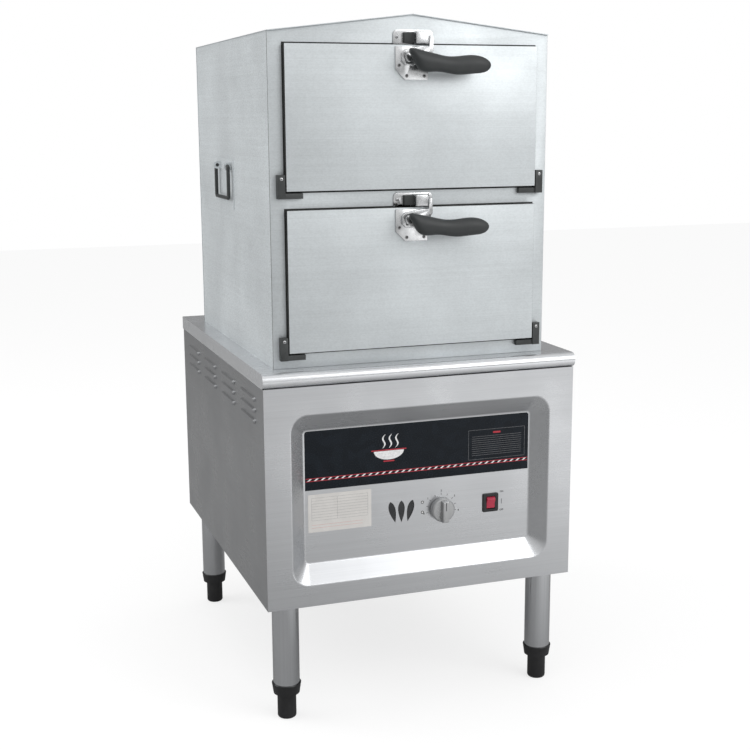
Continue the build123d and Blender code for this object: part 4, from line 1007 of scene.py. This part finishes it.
def screw_head(height):
    """Domed head that faces the front, as a template."""
    radius = 3.2 * MM
    crown = height * 0.97
    rings = 5
    around = 20
    angles = [radians(360 * spoke / around) for spoke in range(around)]
    builder = bmesh.new()
    loops = []
    for ring in range(rings):
        lean = radians(90 * ring / rings)
        reach = radius * cos(lean)
        rise = crown * sin(lean)
        places = [(reach * cos(angle), -rise, reach * sin(angle)) for angle in angles]
        loops.append([builder.verts.new(place) for place in places])
    for inner, outer in zip(loops[1:], loops[:-1]):
        for spoke in range(around):
            after = (spoke + 1) % around
            builder.faces.new((outer[spoke], outer[after], inner[after], inner[spoke]))
    builder.faces.new(loops[-1])
    builder.faces.new(list(reversed(loops[0])))
    bmesh.ops.recalc_face_normals(builder, faces=builder.faces)
    return bare_object("screw_template", builder)


def screw_cross(height):
    """Dark cross on a head's crown, painted shade for the shaded cross slot, as a template."""
    builder = bmesh.new()
    long_arm = 2.1 * MM
    short_arm = 0.42 * MM
    for x_reach, z_reach in ((long_arm, short_arm), (short_arm, long_arm)):
        add_box(builder, (-x_reach, -height, -z_reach), (x_reach, -height * 0.6, z_reach))
    return bare_object("cross_template", builder)


def fit_screws(node, head, slot_shade):
    """Screws on one CAD node's places, at the front and at the rear."""
    body = body_of_node(node)
    finish = "screw_steel" if "latch" in node else "bright_steel"
    places = island_places(frame["nodes"][node])
    for facing, side, turn in ((-1, "front", 0.0), (1, "rear", radians(180))):
        points = [place for place, way in places if way == facing]
        if not points:
            continue
        values = {"Turn": (0.0, 0.0, turn), "Wobble": 0.7, "Seed": 11}
        tree = copies_tree(f"{node}_{side}_copies")
        heads = {**values, "Template": head}
        slot_shades = {**values, "Template": slot_shade}
        made = grown(f"{node}_{side}", tree, heads, finish, body, points, 40.0)
        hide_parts(node)
        # The dark crosses are painted shade for the screw slots.
        grown(f"{node}_{side}_cross", tree, slot_shades, "dark_ink", body, points)


class STEAMER_OT_screws(Operator):
    """Puts domed screws, each with a dark cross of painted shade for its slot, where the CAD has its screw
    heads
    """

    bl_idname = "steamer.screws"
    bl_label = "Fit the screws"

    def execute(self, context):
        for node in ("cabinet_screws", "furnace_screws", "lower_latch_screws", "upper_latch_screws"):
            height = 0.8 * MM if "latch" in node else 1.6 * MM
            head = screw_head(height)
            slot_shade = screw_cross(height)
            fit_screws(node, head, slot_shade)
            bpy.data.objects.remove(head)
            bpy.data.objects.remove(slot_shade)
        return {"FINISHED"}


def island_places(source):
    """Middle of each separate head's seat, and which way the head faces along Y."""
    builder = bmesh.new()
    builder.from_mesh(source.data)
    bmesh.ops.remove_doubles(builder, verts=builder.verts, dist=1e-6)
    seen = set()
    places = []
    for start in builder.verts:
        if start in seen:
            continue
        island = []
        queue = [start]
        seen.add(start)
        while queue:
            vert = queue.pop()
            island.append(vert.co.copy())
            for edge in vert.link_edges:
                other = edge.other_vert(vert)
                if other not in seen:
                    seen.add(other)
                    queue.append(other)
        low = Vector([min(co[axis] for co in island) for axis in range(3)])
        high = Vector([max(co[axis] for co in island) for axis in range(3)])
        middle = (low + high) / 2
        facing = -1 if middle.y < 0 else 1
        seat = high.y if facing < 0 else low.y
        places.append(((round(middle.x, 6), seat, round(middle.z, 6)), facing))
    builder.free()
    return sorted(places)


def outline_door(door, face, width):
    """Dark strip of painted shade around a closed door, for its shaded gap and edge, reaching further below
    it.
    """
    low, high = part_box(f"{door}_door_skin")
    hidden = 1 * MM
    proud = 0.35 * MM
    lift = 1.4 * MM
    left = low[0] - width
    right = high[0] + width
    # The strip reaches further below the door and a little above it: painted shade of the gaps.
    bottom = low[2] - width - lift
    top = high[2] + width + lift / 2
    inner_left = low[0] + hidden
    inner_right = high[0] - hidden
    bars = [
        (left, inner_left, bottom, top),
        (inner_right, right, bottom, top),
        (inner_left, inner_right, bottom, low[2] + hidden),
        (inner_left, inner_right, high[2] - hidden, top),
    ]
    print_bars(f"{door}_door_seam", bars, "seam_rubber", face, face - proud)


class STEAMER_OT_seams(Operator):
    """Lays dark strips of painted shade down the cabinet's front corners and around each door"""

    bl_idname = "steamer.seams"
    # The beads laid here are dark strips of painted shade.
    bl_label = "Lay the sealing beads"

    def execute(self, context):
        low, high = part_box("front_frame")
        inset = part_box("cabinet_left_side")[0][0] - low[0]
        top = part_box("roof")[0][2]
        frame_back = low[1] + 2 * MM
        shade_strip_back = frame_back + 2.2 * MM
        # Dark strips in the notches between the frame and the sides: painted shade.
        builder = bmesh.new()
        for left, right in ((low[0], low[0] + inset), (high[0] - inset, high[0])):
            add_box(builder, (left, frame_back, low[2]), (right, shade_strip_back, top))
        new_piece("corner_beads", builder, "seal_bead")
        for door in DOORS:
            outline_door(door, low[1], context.scene.steamer_trim.seam_width)
        return {"FINISHED"}


def make_floor():
    """Pale floor that keeps the steamer's shadow; the metal mirrors it as a pool of light."""
    builder = bmesh.new()
    corners = ((-1, -1), (1, -1), (1, 1), (-1, 1))
    builder.faces.new([builder.verts.new((x * FLOOR_HALF, y * FLOOR_HALF, 0)) for x, y in corners])
    made = bare_object("studio_floor", builder)
    material, tree, shader = new_material("floor_paper")
    shader.inputs["Base Color"].default_value = (*FLOOR_COLOUR, 1)
    shader.inputs["Roughness"].default_value = 0.9
    rays = add_node(tree, "ShaderNodeLightPath").outputs
    seen_or_mirrored = maths(tree, "MAXIMUM", rays["Is Camera Ray"], rays["Is Glossy Ray"])
    pool = add_node(tree, "ShaderNodeTexGradient", gradient_type="SPHERICAL")
    link = tree.links.new
    link(object_point(tree, POOL_STRETCH, POOL_SHIFT), pool.inputs["Vector"])
    brightness = add_node(tree, "ShaderNodeMix", data_type="FLOAT")
    mirrored = spread(tree, pool.outputs["Fac"], *FLOOR_GLOW_MIRRORED, from_low=0, from_high=0.85)
    link(rays["Is Camera Ray"], brightness.inputs[0])
    link(mirrored, brightness.inputs[2])
    brightness.inputs[3].default_value = FLOOR_GLOW_SEEN
    glow = add_node(tree, "ShaderNodeEmission")
    link(brightness.outputs[0], glow.inputs["Strength"])
    share = maths(tree, "MULTIPLY", seen_or_mirrored, FLOOR_GLOW_SHARE)
    mix_surface(tree, "Material Output", share, shader, glow)
    made.data.materials.append(material)


def make_world(scene):
    """White for the camera; for the metal a soft room, brighter from the front and above."""
    world = bpy.data.worlds.new("studio_world")
    scene.world = world
    world.use_nodes = True
    tree = world.node_tree
    room = tree.nodes["Background"]
    white = add_node(tree, "ShaderNodeBackground")
    for background in (room, white):
        background.inputs["Color"].default_value = (1, 1, 1, 1)
    coordinates = add_node(tree, "ShaderNodeTexCoord")
    parts = add_node(tree, "ShaderNodeSeparateXYZ")
    tree.links.new(coordinates.outputs["Generated"], parts.inputs[0])
    sideways = maths(tree, "MULTIPLY", parts.outputs["X"], ROOM_TURN)
    frontward = maths(tree, "SUBTRACT", sideways, parts.outputs["Y"])
    across = spread(tree, frontward, *ROOM_ACROSS, from_low=-0.9, from_high=1)
    upward = spread(tree, parts.outputs["Z"], *ROOM_UPWARD, from_low=0, from_high=0.9)
    tree.links.new(maths(tree, "MULTIPLY", across, upward), room.inputs["Strength"])
    seen = add_node(tree, "ShaderNodeLightPath").outputs["Is Camera Ray"]
    mix_surface(tree, "World Output", seen, room, white)


def mix_surface(tree, output, share, first, second):
    """Mixes two shaders by a share into a tree's output."""
    mix = add_node(tree, "ShaderNodeMixShader")
    link = tree.links.new
    link(share, mix.inputs[0])
    link(first.outputs[0], mix.inputs[1])
    link(second.outputs[0], mix.inputs[2])
    link(mix.outputs[0], tree.nodes[output].inputs["Surface"])


def make_lamp(name, place, target, size, power):
    """Square soft light that points at a place."""
    light = bpy.data.lights.new(name, "AREA")
    light.size = size
    light.energy = power
    made = loose_object(name, light)
    made.location = place
    made.rotation_euler = (Vector(target) - Vector(place)).to_track_quat("-Z", "Y").to_euler()


def make_camera(scene, studio):
    """Camera at the photograph's viewing angle."""
    lens = bpy.data.cameras.new("camera")
    lens.lens = studio.lens
    lens.sensor_width = 36.0
    place = Vector(studio.camera_place) + Vector((0, PANEL_CORNER[1], 0))
    yaw = Matrix.Rotation(-studio.camera_yaw, 4, "Z")
    pitch = Matrix.Rotation(radians(90) - studio.camera_pitch, 4, "X")
    roll = Matrix.Rotation(studio.camera_roll, 4, "Z")
    made = loose_object("camera", lens)
    made.matrix_world = Matrix.Translation(place) @ yaw @ pitch @ roll
    scene.camera = made


class STEAMER_OT_studio(Operator):
    """Sets up the pale floor, the soft lights and the camera"""

    bl_idname = "steamer.studio"
    bl_label = "Set up the studio"

    def execute(self, context):
        studio = context.scene.steamer_studio
        make_floor()
        make_world(context.scene)
        for name, (place, target, size) in LAMPS.items():
            make_lamp(f"{name}_light", place, target, size, getattr(studio, f"{name}_power"))
        make_camera(context.scene, studio)
        context.scene.view_settings.view_transform = "Standard"
        return {"FINISHED"}


class STEAMER_PT_panel(Panel):
    """Lists the steamer's operators and settings"""

    bl_label = "Noodle Roll Steamer"
    bl_idname = "STEAMER_PT_panel"
    bl_space_type = "VIEW_3D"
    bl_region_type = "UI"
    bl_category = "Steamer"

    def draw(self, context):
        for operator in OPERATORS:
            self.layout.operator(operator.bl_idname)
        for group in (context.scene.steamer_finish, context.scene.steamer_trim, context.scene.steamer_studio):
            column = self.layout.column()
            for name in group.__annotations__:
                column.prop(group, name)


OPERATORS = (
    STEAMER_OT_finishes,
    STEAMER_OT_folded_edges,
    STEAMER_OT_label,
    STEAMER_OT_marks,
    STEAMER_OT_sight_pane,
    STEAMER_OT_screws,
    STEAMER_OT_seams,
    STEAMER_OT_studio,
)
CLASSES = (FinishSettings, TrimSettings, StudioSettings, *OPERATORS, STEAMER_PT_panel)


def register():
    for made in CLASSES:
        bpy.utils.register_class(made)
    bpy.types.Scene.steamer_finish = PointerProperty(type=FinishSettings)
    bpy.types.Scene.steamer_trim = PointerProperty(type=TrimSettings)
    bpy.types.Scene.steamer_studio = PointerProperty(type=StudioSettings)


def unregister():
    del bpy.types.Scene.steamer_studio
    del bpy.types.Scene.steamer_trim
    del bpy.types.Scene.steamer_finish
    for made in reversed(CLASSES):
        bpy.utils.unregister_class(made)


def main():
    register()
    bpy.ops.steamer.finishes()
    bpy.ops.steamer.folded_edges()
    bpy.ops.steamer.label()
    bpy.ops.steamer.marks()
    bpy.ops.steamer.sight_pane()
    bpy.ops.steamer.screws()
    bpy.ops.steamer.seams()
    bpy.ops.steamer.studio()


if __name__ == "__main__":
    main()
